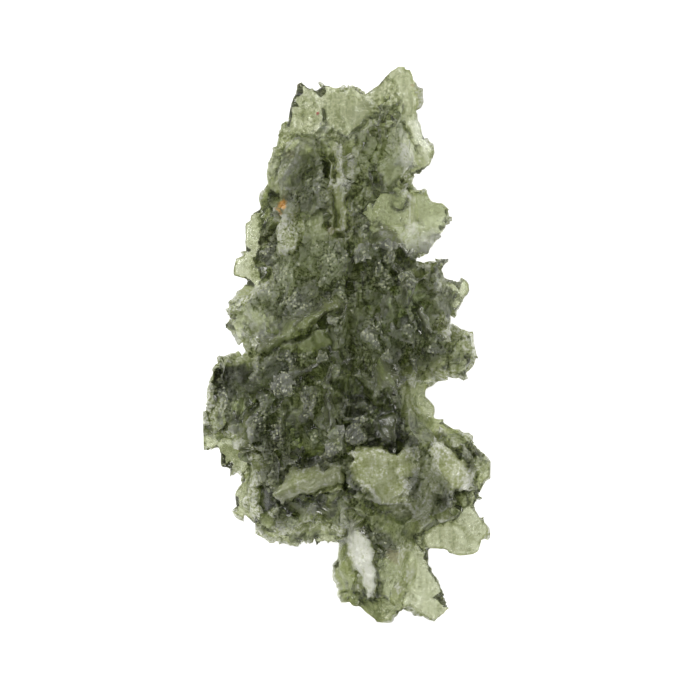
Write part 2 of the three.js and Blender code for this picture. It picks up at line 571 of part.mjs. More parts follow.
// Height of the upper face, or of the underside, over a point.
function faceHeight(x, y, sign) {
  const margin = marginAt(x, y);
  const rimPoint = besideRim(x, y);
  const depth = rimPoint.inside ? rimPoint.distance : 0;
  const edge = margin.height + sign * margin.half;
  const most = margin.rise * Math.min(depth, margin.width) + bodyRise * Math.max(0, depth - margin.width);
  const [planX, planY] = onPlan(x, y, sign);
  let lift = sign * (topRidge(sign > 0 ? upperRidges : lowerRidges, planX, planY, sign).height - edge);
  if (sign > 0)
    for (const hollow of hollows) {
      const away = Math.hypot(planX - hollow.at[0], planY - hollow.at[1]) / hollow.radius;
      if (away < 1.6) lift = Math.min(lift, hollow.bottom + hollow.climb * away * away - edge);
    }
  const fromFoot = Math.min(...feet.map((foot) => Math.hypot(planX - foot[0], planY - foot[1])));
  const bite = sign > 0 ? etchedAt(x, y) : THREE.MathUtils.smoothstep(fromFoot, 0.5, footCone.unpitted);
  const fade = THREE.MathUtils.smoothstep(depth, 0, 1.2);
  lift -= bite * fade * pitDepth(x, y, sign > 0 ? upperPits : lowerPits);
  let height = edge + sign * THREE.MathUtils.clamp(lift, 0, most);
  if (sign < 0) {
    const cone = footCone.tip + footCone.slope * fromFoot;
    for (const vault of vaults) {
      const away = Math.hypot(planX - vault.at[0], planY - vault.at[1]) / vault.radius;
      const roof = Math.min(cone, vault.roof - vaultSpring * away * away);
      if (away < 1.5) height = Math.max(height, Math.min(roof, faceHeight(x, y, 1) - leastGlass));
    }
  }
  return height;
}

// Turns a three.js geometry into a solid that can be joined and cut.
const wasm = await Module();
wasm.setup();
function toSolid(geometry) {
  const bare = geometry.clone();
  bare.deleteAttribute("normal");
  bare.deleteAttribute("uv");
  const merged = mergeVertices(bare, 1e-4);
  return new wasm.Manifold(
    new wasm.Mesh({
      numProp: 3,
      vertProperties: merged.attributes.position.array,
      triVerts: new Uint32Array(merged.index.array),
    }),
  );
}

// A slab over the whole stone, both of whose faces are drawn up or down to the ridges and hollows.
function carvedSlab() {
  const across = stoneWidth + 2 * gridMargin;
  const along = stoneLength + 2 * gridMargin;
  const columns = Math.round(across / gridStep);
  const rows = Math.round(along / gridStep);
  const slab = new THREE.BoxGeometry(across, along, 2, columns, rows, 1);
  const position = slab.attributes.position;
  const pullWithin = gridStep * 0.48;
  for (let k = 0; k < position.count; k++) {
    const sign = Math.sign(position.getZ(k));
    const i = Math.round((position.getX(k) / across + 0.5) * columns);
    const j = Math.round((position.getY(k) / along + 0.5) * rows);
    let x = position.getX(k) + (scatter(i, j, 3 + sign) - 0.5) * gridStep * 0.3;
    let y = position.getY(k) + (scatter(i, j, 7 + sign) - 0.5) * gridStep * 0.3;
    // Vertices beside the rim or a crest are drawn onto it, so that the edge or the ridge stays sharp.
    const [planX, planY] = onPlan(x, y, sign);
    const crest = topRidge(sign > 0 ? upperRidges : lowerRidges, planX, planY, sign);
    const rimPoint = besideRim(x, y);
    if (rimPoint.distance < pullWithin) {
      x = THREE.MathUtils.lerp(x, rimPoint.footX, 0.8);
      y = THREE.MathUtils.lerp(y, rimPoint.footY, 0.8);
    } else if (crest.distance < pullWithin) {
      x += (crest.footX - planX) * 0.8;
      y += (crest.footY - planY) * 0.8;
    }
    const uneven = (scatter(i, j, 19 + sign) - 0.5) * grain;
    position.setXYZ(k, x, y, faceHeight(x, y, sign) + uneven);
  }
  return toSolid(slab);
}

// One spine: a faceted wedge that runs from its root, inside the stone, to a point.
function spine(root, tip, width, seed) {
  const run = new THREE.Vector3().subVectors(tip, root);
  const wedge = new THREE.OctahedronGeometry(1, 1);
  const position = wedge.attributes.position;
  for (let k = 0; k < position.count; k++) {
    const along = position.getX(k);
    const taper = THREE.MathUtils.mapLinear(along, -1, 1, 1, 0.45);
    const rough = 1 + (scatter(Math.round(along * 20), Math.round(position.getY(k) * 20), seed) - 0.5) * 0.5;
    position.setXYZ(
      k,
      along * run.length() * 0.5,
      position.getY(k) * width * taper * rough,
      position.getZ(k) * width * taper * rough * 0.6,
    );
  }
  const heading = run.clone().normalize();
  wedge.applyQuaternion(new THREE.Quaternion().setFromUnitVectors(new THREE.Vector3(1, 0, 0), heading));
  wedge.translate((root.x + tip.x) / 2, (root.y + tip.y) / 2, (root.z + tip.z) / 2);
  return toSolid(wedge);
}

// Spines at even steps round the rim, each pointing away from the stone's long axis.
function rimSpines() {
  const path = new THREE.CurvePath();
  outline.forEach((from, i) => {
    const to = outline[(i + 1) % outline.length];
    path.add(new THREE.LineCurve(new THREE.Vector2(...from), new THREE.Vector2(...to)));
  });
  const count = Math.round(path.getLength() / spines.spacing);
  const between = (range, k, seed) => THREE.MathUtils.lerp(range[0], range[1], scatter(k, seed, 71));
  const made = [];
  for (let k = 0; k < count; k++) {
    const edge = path.getPoint((k + 0.5) / count);
    const margin = marginAt(edge.x, edge.y);
    if (margin.rise < spines.leastRise) continue;
    const outward = new THREE.Vector2(edge.x, edge.y * 0.25).normalize();
    const above = scatter(k, 5, 71) < spines.upperShare && margin.rise > 0.6;
    const reach = between(spines.inset, k, 1);
    const root = reach + between(spines.root, k, 2);
    const height = above
      ? margin.height + between(spines.lift, k, 3)
      : Math.max(spines.lowest, margin.height - between(spines.drop, k, 3));
    const tipAt = new THREE.Vector3(edge.x - outward.x * reach, edge.y - outward.y * reach, height);
    const rootAt = new THREE.Vector3(edge.x - outward.x * root, edge.y - outward.y * root, 0);
    rootAt.z = (faceHeight(rootAt.x, rootAt.y, 1) + faceHeight(rootAt.x, rootAt.y, -1)) / 2;
    const rootPlace = besideRim(rootAt.x, rootAt.y);
    if (!besideRim(tipAt.x, tipAt.y).inside || !rootPlace.inside || rootPlace.distance < 0.8) continue;
    made.push(spine(rootAt, tipAt, between(spines.width, k, 4) / 2, k));
  }
  return made;
}

// The outline as an upright prism, which trims the slab to the stone's rim.
function outlinePrism() {
  const shape = new THREE.Shape(outline.map(([x, y]) => new THREE.Vector2(x, y)));
  const prism = new THREE.ExtrudeGeometry(shape, { depth: 30, bevelEnabled: false });
  prism.translate(0, 0, -10);
  return toSolid(prism);
}

// The space under the rest plane, which takes the tips off the lowest crests.
function spaceBelow() {
  const block = new THREE.BoxGeometry(60, 60, 20);
  block.translate(0, 0, restPlane - 10);
  return toSolid(block);
}

let solid = carvedSlab();
for (const wedge of rimSpines()) solid = solid.add(wedge);
solid = solid.intersect(outlinePrism()).subtract(spaceBelow());
const cut = solid.getMesh();
const geometry = new THREE.BufferGeometry();
geometry.setAttribute("position", new THREE.BufferAttribute(new Float32Array(cut.vertProperties), 3));
geometry.setIndex(new THREE.BufferAttribute(cut.triVerts, 1));
geometry.computeBoundingBox();
const box = geometry.boundingBox;
geometry.translate(-(box.min.x + box.max.x) / 2, -(box.min.y + box.max.y) / 2, -box.min.z);
geometry.computeVertexNormals();

const glass = new THREE.MeshStandardMaterial({ color: 0x6f7a4a, roughness: 0.25, metalness: 0 });
const moldavite = new THREE.Mesh(geometry, glass);
moldavite.name = "moldavite";

const stone = new THREE.Group();
stone.add(moldavite);
export default stone;
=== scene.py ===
import bmesh
import bpy
import numpy as np
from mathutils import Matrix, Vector
from mathutils.bvhtree import BVHTree


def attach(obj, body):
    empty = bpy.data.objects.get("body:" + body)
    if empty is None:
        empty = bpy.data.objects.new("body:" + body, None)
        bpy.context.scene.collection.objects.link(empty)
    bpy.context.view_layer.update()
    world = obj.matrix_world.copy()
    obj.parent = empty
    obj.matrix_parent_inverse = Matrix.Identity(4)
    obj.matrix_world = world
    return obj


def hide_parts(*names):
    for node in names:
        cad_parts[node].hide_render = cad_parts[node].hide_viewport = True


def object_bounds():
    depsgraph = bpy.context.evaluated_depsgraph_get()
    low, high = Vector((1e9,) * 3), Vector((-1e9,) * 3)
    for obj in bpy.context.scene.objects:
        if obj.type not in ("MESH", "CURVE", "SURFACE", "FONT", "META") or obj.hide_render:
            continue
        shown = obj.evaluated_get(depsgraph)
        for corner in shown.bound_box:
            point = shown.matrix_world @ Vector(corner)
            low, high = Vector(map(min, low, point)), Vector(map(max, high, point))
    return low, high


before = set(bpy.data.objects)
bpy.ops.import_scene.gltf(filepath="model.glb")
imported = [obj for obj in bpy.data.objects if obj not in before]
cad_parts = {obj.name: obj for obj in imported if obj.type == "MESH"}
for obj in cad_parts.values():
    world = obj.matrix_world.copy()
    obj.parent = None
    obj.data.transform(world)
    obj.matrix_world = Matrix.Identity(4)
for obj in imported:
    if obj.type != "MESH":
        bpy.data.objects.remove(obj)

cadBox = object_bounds()
mm = 0.001  # one millimetre in metres; the stone is carved in millimetres and scaled at the end
middleGrey = (0.5, 0.5, 0.5)  # the middle of a pattern's colours: less this, it leans both ways
middleValue = 0.5  # the same for a pattern's single value


# Small helpers

def fromHex(code):  # sRGB hex to the linear colour that a socket takes
    channels = [int(code[i:i + 2], 16) / 255 for i in (1, 3, 5)]
    return [c / 12.92 if c <= 0.04045 else ((c + 0.055) / 1.055) ** 2.4 for c in channels] + [1.0]


def addNode(tree, kind, settings=None, links=None):  # links: input to a value, a socket or a node
    node = tree.nodes.new(kind)
    for name, value in (settings or {}).items():
        setattr(node, name, value)
    for name, value in (links or {}).items():
        if isinstance(value, bpy.types.Node):
            value = value.outputs[0]
        if isinstance(value, bpy.types.NodeSocket):
            tree.links.new(value, node.inputs[name])
        else:
            node.inputs[name].default_value = value
    return node


def vertexValues(mesh, what):  # "co" or "normal" of each vertex, one to a row
    values = np.empty(len(mesh.vertices) * 3)
    mesh.vertices.foreach_get(what, values)
    return values.reshape(-1, 3)


def setAttribute(mesh, name, values):
    mesh.attributes.new(name, "FLOAT", "POINT").data.foreach_set("value", values)


def attributeValues(mesh, name):
    values = np.empty(len(mesh.vertices))
    mesh.attributes[name].data.foreach_get("value", values)
    return values


def smoothStep(value, low, high):
    t = np.clip((value - low) / (high - low), 0, 1)
    return t * t * (3 - 2 * t)


def awayFromLine(points, line):  # distance, seen from above, to a line of x, y places
    nearest = np.full(len(points), np.inf)
    for start, end in zip(line, line[1:]):
        start, end = np.array(start, float), np.array(end, float)
        run = end - start
        along = np.clip(((points[:, :2] - start) @ run) / (run @ run), 0, 1)
        foot = start + along[:, None] * run
        nearest = np.minimum(nearest, np.hypot(*(points[:, :2] - foot).T))
    return nearest


def insideShare(points, outline, edge):  # 1 inside an outline seen from above, 0 outside it
    closed = outline + outline[:1]
    inside = np.zeros(len(points), dtype=bool)
    for (startX, startY), (endX, endY) in zip(closed, closed[1:]):
        if startY != endY:
            crossing = startX + (points[:, 1] - startY) * (endX - startX) / (endY - startY)
            between = (startY > points[:, 1]) != (endY > points[:, 1])
            inside ^= between & (points[:, 0] < crossing)
    away = awayFromLine(points, closed)
    return smoothStep(np.where(inside, away, -away), -edge, edge)


def strayed(points):  # the places, bent back and forth so that no drawn line stays straight
    x, y = points[:, 0], points[:, 1]
    shifts = []
    for waves in (stoneSizes["strayAcross"], stoneSizes["strayAlong"]):
        shifts.append(sum(share * np.sin(paceX * x + paceY * y + phase)
                          for share, paceX, paceY, phase in waves))
    return points[:, :2] + stoneSizes["edgeStray"] * np.stack(shifts, axis=1) / 2


def glassBehind(surface, starts, ways, reach):  # thickness of the glass behind each point, along its way
    behind = np.full(len(starts), reach)
    for number, (start, way) in enumerate(zip(starts.tolist(), ways.tolist())):
        distance = surface.ray_cast(start, way, reach)[3]
        if distance is not None:
            behind[number] = distance
    return behind


def outToRim(points, normals, rim):  # remeshing wears thin margins back, so they are pushed out again
    sideways = np.hypot(normals[:, 0], normals[:, 1])
    share = smoothStep(sideways, *stoneSizes["rimShare"])
    moved = points.copy()
    for number in np.flatnonzero(share > 0):
        way = Vector((*normals[number, :2], 0)).normalized()
        hit, normal, _, distance = rim.ray_cast(Vector(points[number]), way, stoneSizes["rimReach"])
        if hit is not None and normal.dot(way) > 0:
            moved[number, :2] += share[number] * distance * np.array(way[:2])
    return moved


def applied(obj, name):  # the object's evaluated mesh, with its modifiers gone
    depsgraph = bpy.context.evaluated_depsgraph_get()
    mesh = bpy.data.meshes.new_from_object(obj.evaluated_get(depsgraph))
    mesh.name = name
    obj.modifiers.clear()
    obj.data = mesh
    return mesh


# Moldavite: natural glass, melted by an impact and then etched by acids in the soil. The etching left
# cups that meet in sharp ridges, so thin places glow olive and thick ones go nearly black.

stoneSizes = {
    # The carved surface
    "weld": 1e-6,  # metres within which the corners of the solid's triangles are joined
    "voxel": 0.143,  # mm between the points of the carved surface
    "easing": (0.5, 3),  # strength and rounds of the smoothing that takes the flat triangles out
    "rimReach": 0.5,  # mm over which a worn margin is pushed back out
    "rimShare": (0.3, 0.75),  # how far a surface faces sideways where that starts and where it is full
    # Faces and creases
    "faceEdge": 0.16,  # mm over which a face fades into its surroundings
    "hazeEdge": 0.45,  # the same for its haze
    "upperSide": (-0.1, 0.25),  # how far a surface faces up where faces start to shape it and fully do
    "cutShare": 0.35,  # the most of the glass that a face or a groove takes away
    "creasePower": 1.2,  # above 1, a crease is narrower at its crest or bottom than at its edges
    "creaseHighlightAndShade": 1.8,  # how far raised creases whiten with painted highlight and grooves darken with painted shade, for each millimetre of their height
    "edgeStray": 0.22,  # mm by which the faces' outlines and the creases wander
    # Their waves: share, radians for each mm across and along the stone, and shift
    "strayAcross": [(1.0, 0.7, 2.1, 0.0), (0.6, -2.2, 5.3, 1.0), (0.3, 3.0, 11.0, 0.0)],
    "strayAlong": [(1.0, 2.4, -0.5, 2.0), (0.6, 4.7, 1.9, 0.0), (0.3, 12.0, -4.0, 0.0)],
    # The etching
    "facetSize": 1.7,  # mm across the broken facets
    "facetTilt": 1.1,  # how steeply each facet leans its own way
    "cupSize": 0.85,  # mm across the larger etched cups
    "cupDepth": 0.20,
    "smallCupSize": 0.34,
    "smallCupDepth": 0.13,
    "cupPower": 1.4,  # how round the cups' bottoms are
    "cupMiddle": 0.45,  # the height in a cup that stays where it was: crests rise and bottoms sink
    "stretch": 0.55,  # pace of the pattern along the stone, which draws the cups out that way
    "wander": 1.7,  # mm by which the rows of cups are bent
    "bends": 0.6,  # how often they are, for each mm
    "bendDetail": 3.0,
    "seed": 4,
    "flowSize": 0.42,  # mm between the flow lines that run along the stone
    "flowPace": (1.0, 0.12, 0.5),  # pace of the flow lines across, along and up, which draws them out
    "flowDepth": 0.32,  # mm for the whole swing of their noise, of which they use about half
    "flowDetail": 1.0,
    "brokenFrom": 0.45,  # share of the etching from which the surface is broken into tiny flat facets
    "thickGlass": 1.8,  # mm of glass from which the etching bites at its full depth
    "thinGlass": 0.3,  # mm of glass at which it hardly bites
    "thinEtch": 0.1,  # share of the etching that is left there
    # Painted sheen on the sides, and tone
    "sheenSide": (0.5, 0.85),  # how far a surface faces sideways where its painted sheen starts and where it is full
    "sheenDepth": (1.2, 3.2),  # mm of glass below it, from the thin rim to the middle of the stone
    "sheenInner": 0.8,  # how much less painted sheen the edges in the middle get
    "sheenHaze": 0.7,
    "sheenTone": 0.45,
    "crests": {4: 0.03, 30: 0.16},  # rounds of smoothing against which crests stand out, and by how many mm
    "crestHighlightAndShade": 0.5,  # how far crests whiten, partly frosting and partly painted highlight, and crevices darken with painted shade
    "smoothCrest": 0.3,  # share of that where the glass isn't etched
}

# Faces and hollows of the upper side, seen from above: outline in millimetres, tone from dark (-1) to
# pale (1), share of the etching, lift in millimetres, how far the face leans along X and Y, how flat it is
# made, and its haze, the share of light that comes back out of the glass there. The dark tone of the sunk
# hollows and pits is painted shade, and the pale tone of the bright tail facet is a painted highlight
faces = {
    "upperOlive": {"outline": [(-4.3, 13.8), (0.2, 14.1), (1.6, 12.4), (0.6, 7.4), (-3.2, 6.8),
                               (-4.8, 9.7)],
                   "tone": 0.2, "etch": 0.6, "haze": 0.17},
    "upperRight": {"outline": [(1.6, 15.4), (4.4, 14.0), (4.6, 11.6), (2.2, 10.4), (1.6, 12.4)],
                   "tone": 0.25, "etch": 0.6, "haze": 0.12},
    "betweenHorns": {"outline": [(-1.7, 17.1), (1.0, 16.8), (2.2, 15.8), (-0.1, 14.2), (-1.8, 15.0)],
                     "tone": -0.12, "etch": 0.05, "lift": -0.15},
    "rightHornPlate": {"outline": [(2.4, 17.7), (3.7, 19.0), (4.5, 18.5), (4.6, 15.6), (3.8, 15.2),
                                   (3.4, 17.0)],
                       "tone": -0.14, "etch": 0.15, "flat": 0.8},
    "rightHornSlope": {"outline": [(1.2, 17.0), (2.3, 17.6), (2.5, 16.3), (1.3, 15.6)],
                       "tone": -0.2, "etch": 0.3},
    "hornColumn": {"outline": [(3.6, 15.0), (4.0, 14.7), (4.6, 13.0), (4.3, 12.0), (3.3, 12.1)],
                   "tone": 0.75, "etch": 0.4, "lift": 0.1},
    "rightFlank": {"outline": [(4.1, 15.0), (4.8, 15.2), (5.9, 13.3), (5.2, 13.0)],
                   "tone": 0.8, "etch": 0.12, "tilt": (-0.2, 0.1), "flat": 0.8, "haze": 0.1},
    "leftHornFacet": {"outline": [(-3.6, 16.8), (-2.4, 16.7), (-2.1, 15.6), (-3.8, 15.4)],
                      "tone": -0.25, "etch": 0.3, "lift": 0.15},
    "leftHornLens": {"outline": [(-4.1, 15.2), (-2.4, 15.4), (-2.8, 14.4), (-4.2, 14.2)],
                     "tone": -0.08, "etch": 0.3},
    "smoothStrip": {"outline": [(-1.3, 12.3), (0.1, 12.6), (0.1, 7.6), (-1.0, 7.4)],
                    "tone": 0.15, "etch": 0.2, "lift": 0.1, "haze": 0.6},
    "brightStreaks": {"outline": [(-0.6, 13.1), (1.0, 13.4), (0.7, 10.4), (-0.1, 10.3)],
                      "tone": 0.5, "etch": 0.7, "haze": 0.35},
    "darkFlank": {"outline": [(-4.2, 13.1), (-1.7, 12.6), (-1.5, 8.9), (-3.4, 8.5), (-4.5, 10.4)],
                  "tone": -0.2, "etch": 0.8, "haze": 0.1},
    "darkColumn": {"outline": [(0.9, 13.1), (2.2, 13.8), (2.0, 10.1), (1.0, 8.0), (0.3, 9.7)],
                   "tone": -0.15, "etch": 0.9, "haze": 0.1},
    "leftPale": {"outline": [(-4.7, 8.8), (-3.1, 8.5), (-3.2, 6.5), (-4.5, 6.2)],
                 "tone": 0.42, "etch": 1.1, "lift": 0.15, "haze": 0.6},
    "rightLobe": {"outline": [(1.0, 8.9), (2.0, 10.3), (4.9, 10.6), (6.9, 9.6), (7.4, 8.6), (7.3, 7.6),
                              (6.8, 6.6), (6.1, 5.95), (4.6, 5.9), (3.6, 6.8), (1.3, 7.2)],
                  "tone": 0.18, "etch": 0.12, "lift": 0.12, "flat": 0.8},
    "rightLobePale": {"outline": [(3.0, 7.8), (6.7, 8.8), (5.7, 6.0), (4.4, 6.0)],
                      "tone": 0.45, "etch": 0.12},
    "leftShoulder": {"outline": [(-6.4, 5.8), (-4.8, 5.6), (-4.4, 3.0), (-6.0, 3.1)],
                     "tone": 0.2, "etch": 0.8},
    # paler tone: partly frosting, partly painted glints of its sparkle
    "frostAndGlintPatch": {"outline": [(-6.6, 4.2), (-4.6, 4.1), (-4.8, 3.2), (-6.4, 3.1)],
                   "tone": 0.6, "etch": 1.3, "haze": 0.1},
    "leftPaleCorner": {"outline": [(-6.9, 2.3), (-5.2, 2.2), (-4.8, 1.2), (-6.4, -0.2), (-7.6, 0.7)],
                       "tone": 0.6, "etch": 0.6, "haze": 0.1},
    "darkLump": {"outline": [(2.4, 6.5), (3.6, 6.8), (4.6, 5.7), (5.2, 3.0), (5.3, 0.8), (3.3, 0.6),
                             (1.5, 1.8), (1.1, 4.1)],
                 "tone": -0.15, "etch": 1.2, "lift": 0.4},
    "lumpFace": {"outline": [(2.8, 5.6), (3.8, 5.8), (4.0, 4.9), (3.0, 4.6)],
                 "tone": 0.3, "etch": 0.3, "tilt": (0.4, -0.3), "flat": 0.8, "haze": 0.15},
    # painted shade in this sunk hollow
    "darkNotch": {"outline": [(0.2, 4.3), (1.5, 4.5), (1.5, 2.2), (0.3, 2.6)],
                  "tone": -0.45, "etch": 0.8, "lift": -0.25},
    "greyPlate": {"outline": [(5.2, 5.3), (6.7, 4.9), (8.0, 4.1), (7.3, 2.3), (6.1, 1.5), (5.2, 3.1)],
                  "tone": 0.35, "etch": 0.7, "haze": 0.08},
    "greyShard": {"outline": [(4.5, 2.9), (5.2, 2.6), (5.9, 0.8), (5.2, 0.6)],
                  "tone": 0.4, "etch": 0.2, "lift": 0.2, "tilt": (0.4, 0.2), "flat": 0.8, "haze": 0.12},
    "bandRidge": {"outline": [(-6.1, 0.0), (-3.2, 1.9), (-0.9, 3.3), (-0.2, 2.5), (-2.5, 1.1),
                              (-5.3, -0.5)],
                  "tone": 0.3, "etch": 0.15, "lift": 0.3, "flat": 0.8, "haze": 0.25},
    "streakedFace": {"outline": [(-5.3, -0.5), (-2.4, 1.0), (-0.6, 1.2), (-0.3, -0.5), (-2.9, -0.4)],
                     "tone": -0.05, "etch": 0.25, "tilt": (0.0, 0.35), "flat": 0.8, "haze": 0.12},
    "darkMiddle": {"outline": [(-0.6, 0.7), (1.3, 0.2), (2.1, -1.2), (1.7, -2.3), (-0.5, -1.9)],
                   "tone": -0.2, "etch": 0.9, "lift": -0.1},
    # painted shade in this sunk hollow
    "darkHollow": {"outline": [(-1.3, -2.4), (0.2, -2.1), (2.0, -2.9), (1.8, -3.9), (-0.2, -3.6)],
                   "tone": -0.65, "etch": 0.5, "lift": -0.35},
    "triangleFace": {"outline": [(2.2, -0.4), (3.6, -2.3), (3.4, -3.5), (2.0, -3.2), (1.7, -1.4)],
                     "tone": 0.2, "etch": 0.1, "tilt": (0.25, 0.1), "flat": 0.8, "haze": 0.2},
    "darkBlock": {"outline": [(2.5, 0.6), (5.7, 0.2), (5.5, -1.9), (3.6, -2.0), (2.4, -0.5)],
                  "tone": -0.18, "etch": 1.1},
    "paleWedge": {"outline": [(5.7, 0.6), (6.8, 1.2), (7.3, 0.7), (6.3, 0.0)],
                  "tone": 0.4, "etch": 0.2, "flat": 0.8, "haze": 0.1},
    "blockEnd": {"outline": [(6.1, -0.1), (8.4, 0.7), (8.5, -1.4), (6.4, -2.4), (5.6, -1.7)],
                 "tone": -0.05, "etch": 0.6, "tilt": (0.15, 0.2), "flat": 0.8},
    "paleNeck": {"outline": [(3.7, -2.8), (5.3, -2.7), (5.9, -4.5), (3.8, -4.0)],
                 "tone": -0.08, "etch": 0.5, "haze": 0.08},
    "leftBlockFace": {"outline": [(-8.8, -0.9), (-6.1, -0.8), (-6.5, -3.1), (-7.7, -3.6), (-8.3, -2.4)],
                      "tone": -0.2, "etch": 0.4, "lift": 0.15, "tilt": (-0.2, 0.1), "flat": 0.8},
    "leftBlockGreen": {"outline": [(-7.7, -3.5), (-5.5, -2.7), (-5.0, -3.5), (-6.4, -5.1), (-8.0, -5.5)],
                       "tone": 0.0, "etch": 0.35},
    "chainFace": {"outline": [(-6.0, -4.3), (-4.0, -2.1), (-3.6, -2.7), (-5.6, -4.7)],
                  "tone": 0.45, "etch": 1.0, "lift": 0.2, "haze": 0.1},
    "leftFlange": {"outline": [(-8.8, -7.0), (-7.1, -6.7), (-7.3, -8.6), (-8.4, -8.4)],
                   "tone": -0.25, "etch": 0.1, "flat": 0.8},
    "darkLeftLow": {"outline": [(-6.3, -5.4), (-3.7, -5.6), (-4.0, -7.5), (-6.1, -7.6)],
                    "tone": -0.45, "etch": 1.3},
    # painted shade in this sunk hollow
    "darkPocket": {"outline": [(-3.6, -5.6), (-2.5, -4.9), (-1.5, -5.8), (-3.2, -6.0)],
                   "tone": -0.5, "etch": 0.3, "lift": -0.25},
    # painted shade in this sunk hollow
    "darkWedge": {"outline": [(-4.1, -8.5), (-3.2, -7.3), (-2.0, -7.4), (-2.4, -8.0), (-3.4, -8.4)],
                  "tone": -0.85, "etch": 0.2, "lift": -0.4},
    "palePlateau": {"outline": [(-1.8, -4.1), (-0.5, -3.9), (0.3, -7.2), (-1.7, -7.2)],
                    "tone": 0.35, "etch": 0.9, "haze": 0.12},
    "band": {"outline": [(-5.2, -10.1), (-4.0, -8.7), (-2.4, -8.2), (-0.1, -8.2), (-0.2, -9.9),
                         (-3.2, -10.4)],
             "tone": 0.18, "etch": 0.08, "lift": 0.15, "flat": 0.5, "haze": 0.5},
    "smoothLobe": {"outline": [(0.2, -7.0), (2.0, -6.7), (3.7, -7.0), (4.5, -8.7), (4.1, -11.0),
                               (2.2, -10.7), (0.5, -9.0)],
                   "tone": 0.3, "etch": 0.22, "lift": 0.05, "flat": 0.3, "haze": 0.75},
    "lobeEnd": {"outline": [(4.5, -7.6), (6.1, -7.9), (6.5, -9.4), (5.6, -11.7), (4.2, -11.9), (4.1, -9.8)],
                "tone": 0.35, "etch": 0.6, "haze": 0.25},
    # painted shade in this sunk hollow
    "darkArch": {"outline": [(-3.4, -10.3), (-2.4, -9.8), (-1.3, -10.6), (-1.7, -10.9), (-3.0, -10.7)],
                 "tone": -0.6, "etch": 0.3, "lift": -0.3},
    # paler tone: partly frosting, partly painted glints of its sparkle
    "frostAndGlintArch": {"outline": [(-3.4, -10.9), (-2.0, -10.6), (-0.9, -11.0), (-1.7, -11.4), (-3.2, -11.3)],
                  "tone": 0.45, "etch": 1.3, "lift": 0.2, "haze": 0.1},
    # painted shade in this sunk hollow
    "darkSlot": {"outline": [(-4.5, -11.3), (-3.2, -11.2), (-3.2, -11.8), (-4.2, -11.8)],
                 "tone": -0.5, "etch": 0.3, "lift": -0.25},
    # painted shade in this sunk hollow
    "leftHollow": {"outline": [(-6.1, -9.8), (-5.5, -9.3), (-4.9, -10.6), (-5.6, -11.4), (-6.1, -10.9)],
                   "tone": -1.0, "etch": 0.3, "lift": -0.35},
    "leftRim": {"outline": [(-7.7, -9.8), (-6.7, -9.3), (-6.4, -11.3), (-7.2, -11.8)],
                "tone": 0.0, "etch": 0.6},
    # painted shade in this sunk hollow
    "darkWell": {"outline": [(1.5, -3.6), (3.4, -2.7), (3.5, -6.8), (2.5, -6.9), (1.3, -6.4)],
                 "tone": -0.55, "etch": 0.4, "lift": -0.25},
    "greyFace": {"outline": [(2.3, -4.9), (3.3, -4.7), (3.5, -6.4), (2.5, -6.3)],
                 "tone": 0.45, "etch": 0.15, "tilt": (0.3, -0.2), "flat": 0.8, "haze": 0.12},
    "lowerRightFace": {"outline": [(5.7, -6.6), (6.4, -6.2), (8.3, -8.3), (8.4, -9.8), (6.9, -9.8),
                                   (6.0, -8.3)],
                       "tone": 0.48, "etch": 0.1, "flat": 0.35, "haze": 1.0},
    # painted shade in this sunk groove
    "darkLining": {"outline": [(8.1, -7.2), (8.8, -8.2), (9.0, -10.6), (8.3, -9.9)],
                   "tone": -0.35, "etch": 1.1, "lift": -0.2},
    # painted shade in this sunk groove
    "darkSeam": {"outline": [(6.7, -9.9), (8.9, -10.3), (8.7, -11.0), (6.8, -10.9)],
                 "tone": -0.45, "etch": 1.2, "lift": -0.2},
    # painted shade in this sunk pit
    "lobePit": {"outline": [(3.9, -8.7), (5.0, -9.0), (4.8, -9.9), (4.1, -9.5)],
                "tone": -0.4, "etch": 0.5, "lift": -0.3},
    # painted shade in this sunk pit
    "neckPit": {"outline": [(3.7, -12.5), (5.3, -12.8), (5.2, -13.6), (4.1, -13.2)],
                "tone": -0.45, "etch": 0.5, "lift": -0.3},
    "underLobe": {"outline": [(-0.1, -10.5), (2.0, -10.7), (4.1, -12.2), (3.4, -13.7), (1.5, -12.3)],
                  "tone": -0.2, "etch": 0.4, "haze": 0.2},
    "clearFlange": {"outline": [(5.3, -12.5), (6.7, -11.9), (9.1, -13.2), (9.0, -14.2), (7.9, -14.5),
                                (5.5, -13.8)],
                    "tone": -0.08, "etch": 0.1, "flat": 0.8},
    "tailStrip": {"outline": [(-0.3, -11.9), (0.3, -12.2), (0.5, -15.6), (0.2, -17.1), (-0.5, -15.3)],
                  "tone": -0.22, "etch": 0.1, "flat": 0.8},
    "ribbedFace": {"outline": [(1.1, -12.3), (1.8, -13.2), (2.4, -15.5), (1.8, -17.1), (1.6, -14.9)],
                   "tone": 0.35, "etch": 0.3, "flat": 0.8, "haze": 0.2},
    # painted highlight: the palest tone and full haze stand for the lamp's reflection in this tilted facet
    "paintedHighlightFace": {"outline": [(0.0, -11.4), (0.7, -11.7), (1.2, -13.0), (1.7, -14.2), (1.9, -15.2),
                               (1.8, -16.2), (1.5, -17.1), (0.9, -15.9), (0.4, -14.8), (0.05, -13.7),
                               (-0.05, -12.7)],
                   "tone": 1.0, "etch": 0.04, "tilt": (0.29, -0.24), "flat": 0.8, "haze": 1.0},
    "tailPlate": {"outline": [(0.2, -16.8), (2.2, -17.3), (3.2, -18.1), (2.1, -18.9), (0.2, -17.9)],
                  "tone": -0.35, "etch": 0.1, "lift": -0.15, "flat": 0.8, "haze": 0.15},
    "tailRight": {"outline": [(2.1, -13.7), (4.9, -13.8), (6.3, -16.4), (5.9, -18.5), (4.2, -17.6),
                              (2.5, -17.1)],
                  "tone": 0.15, "etch": 0.25},
    "belowChain": {"outline": [(-5.9, -3.6), (-4.7, -2.5), (-3.6, -3.6), (-4.7, -4.8)],
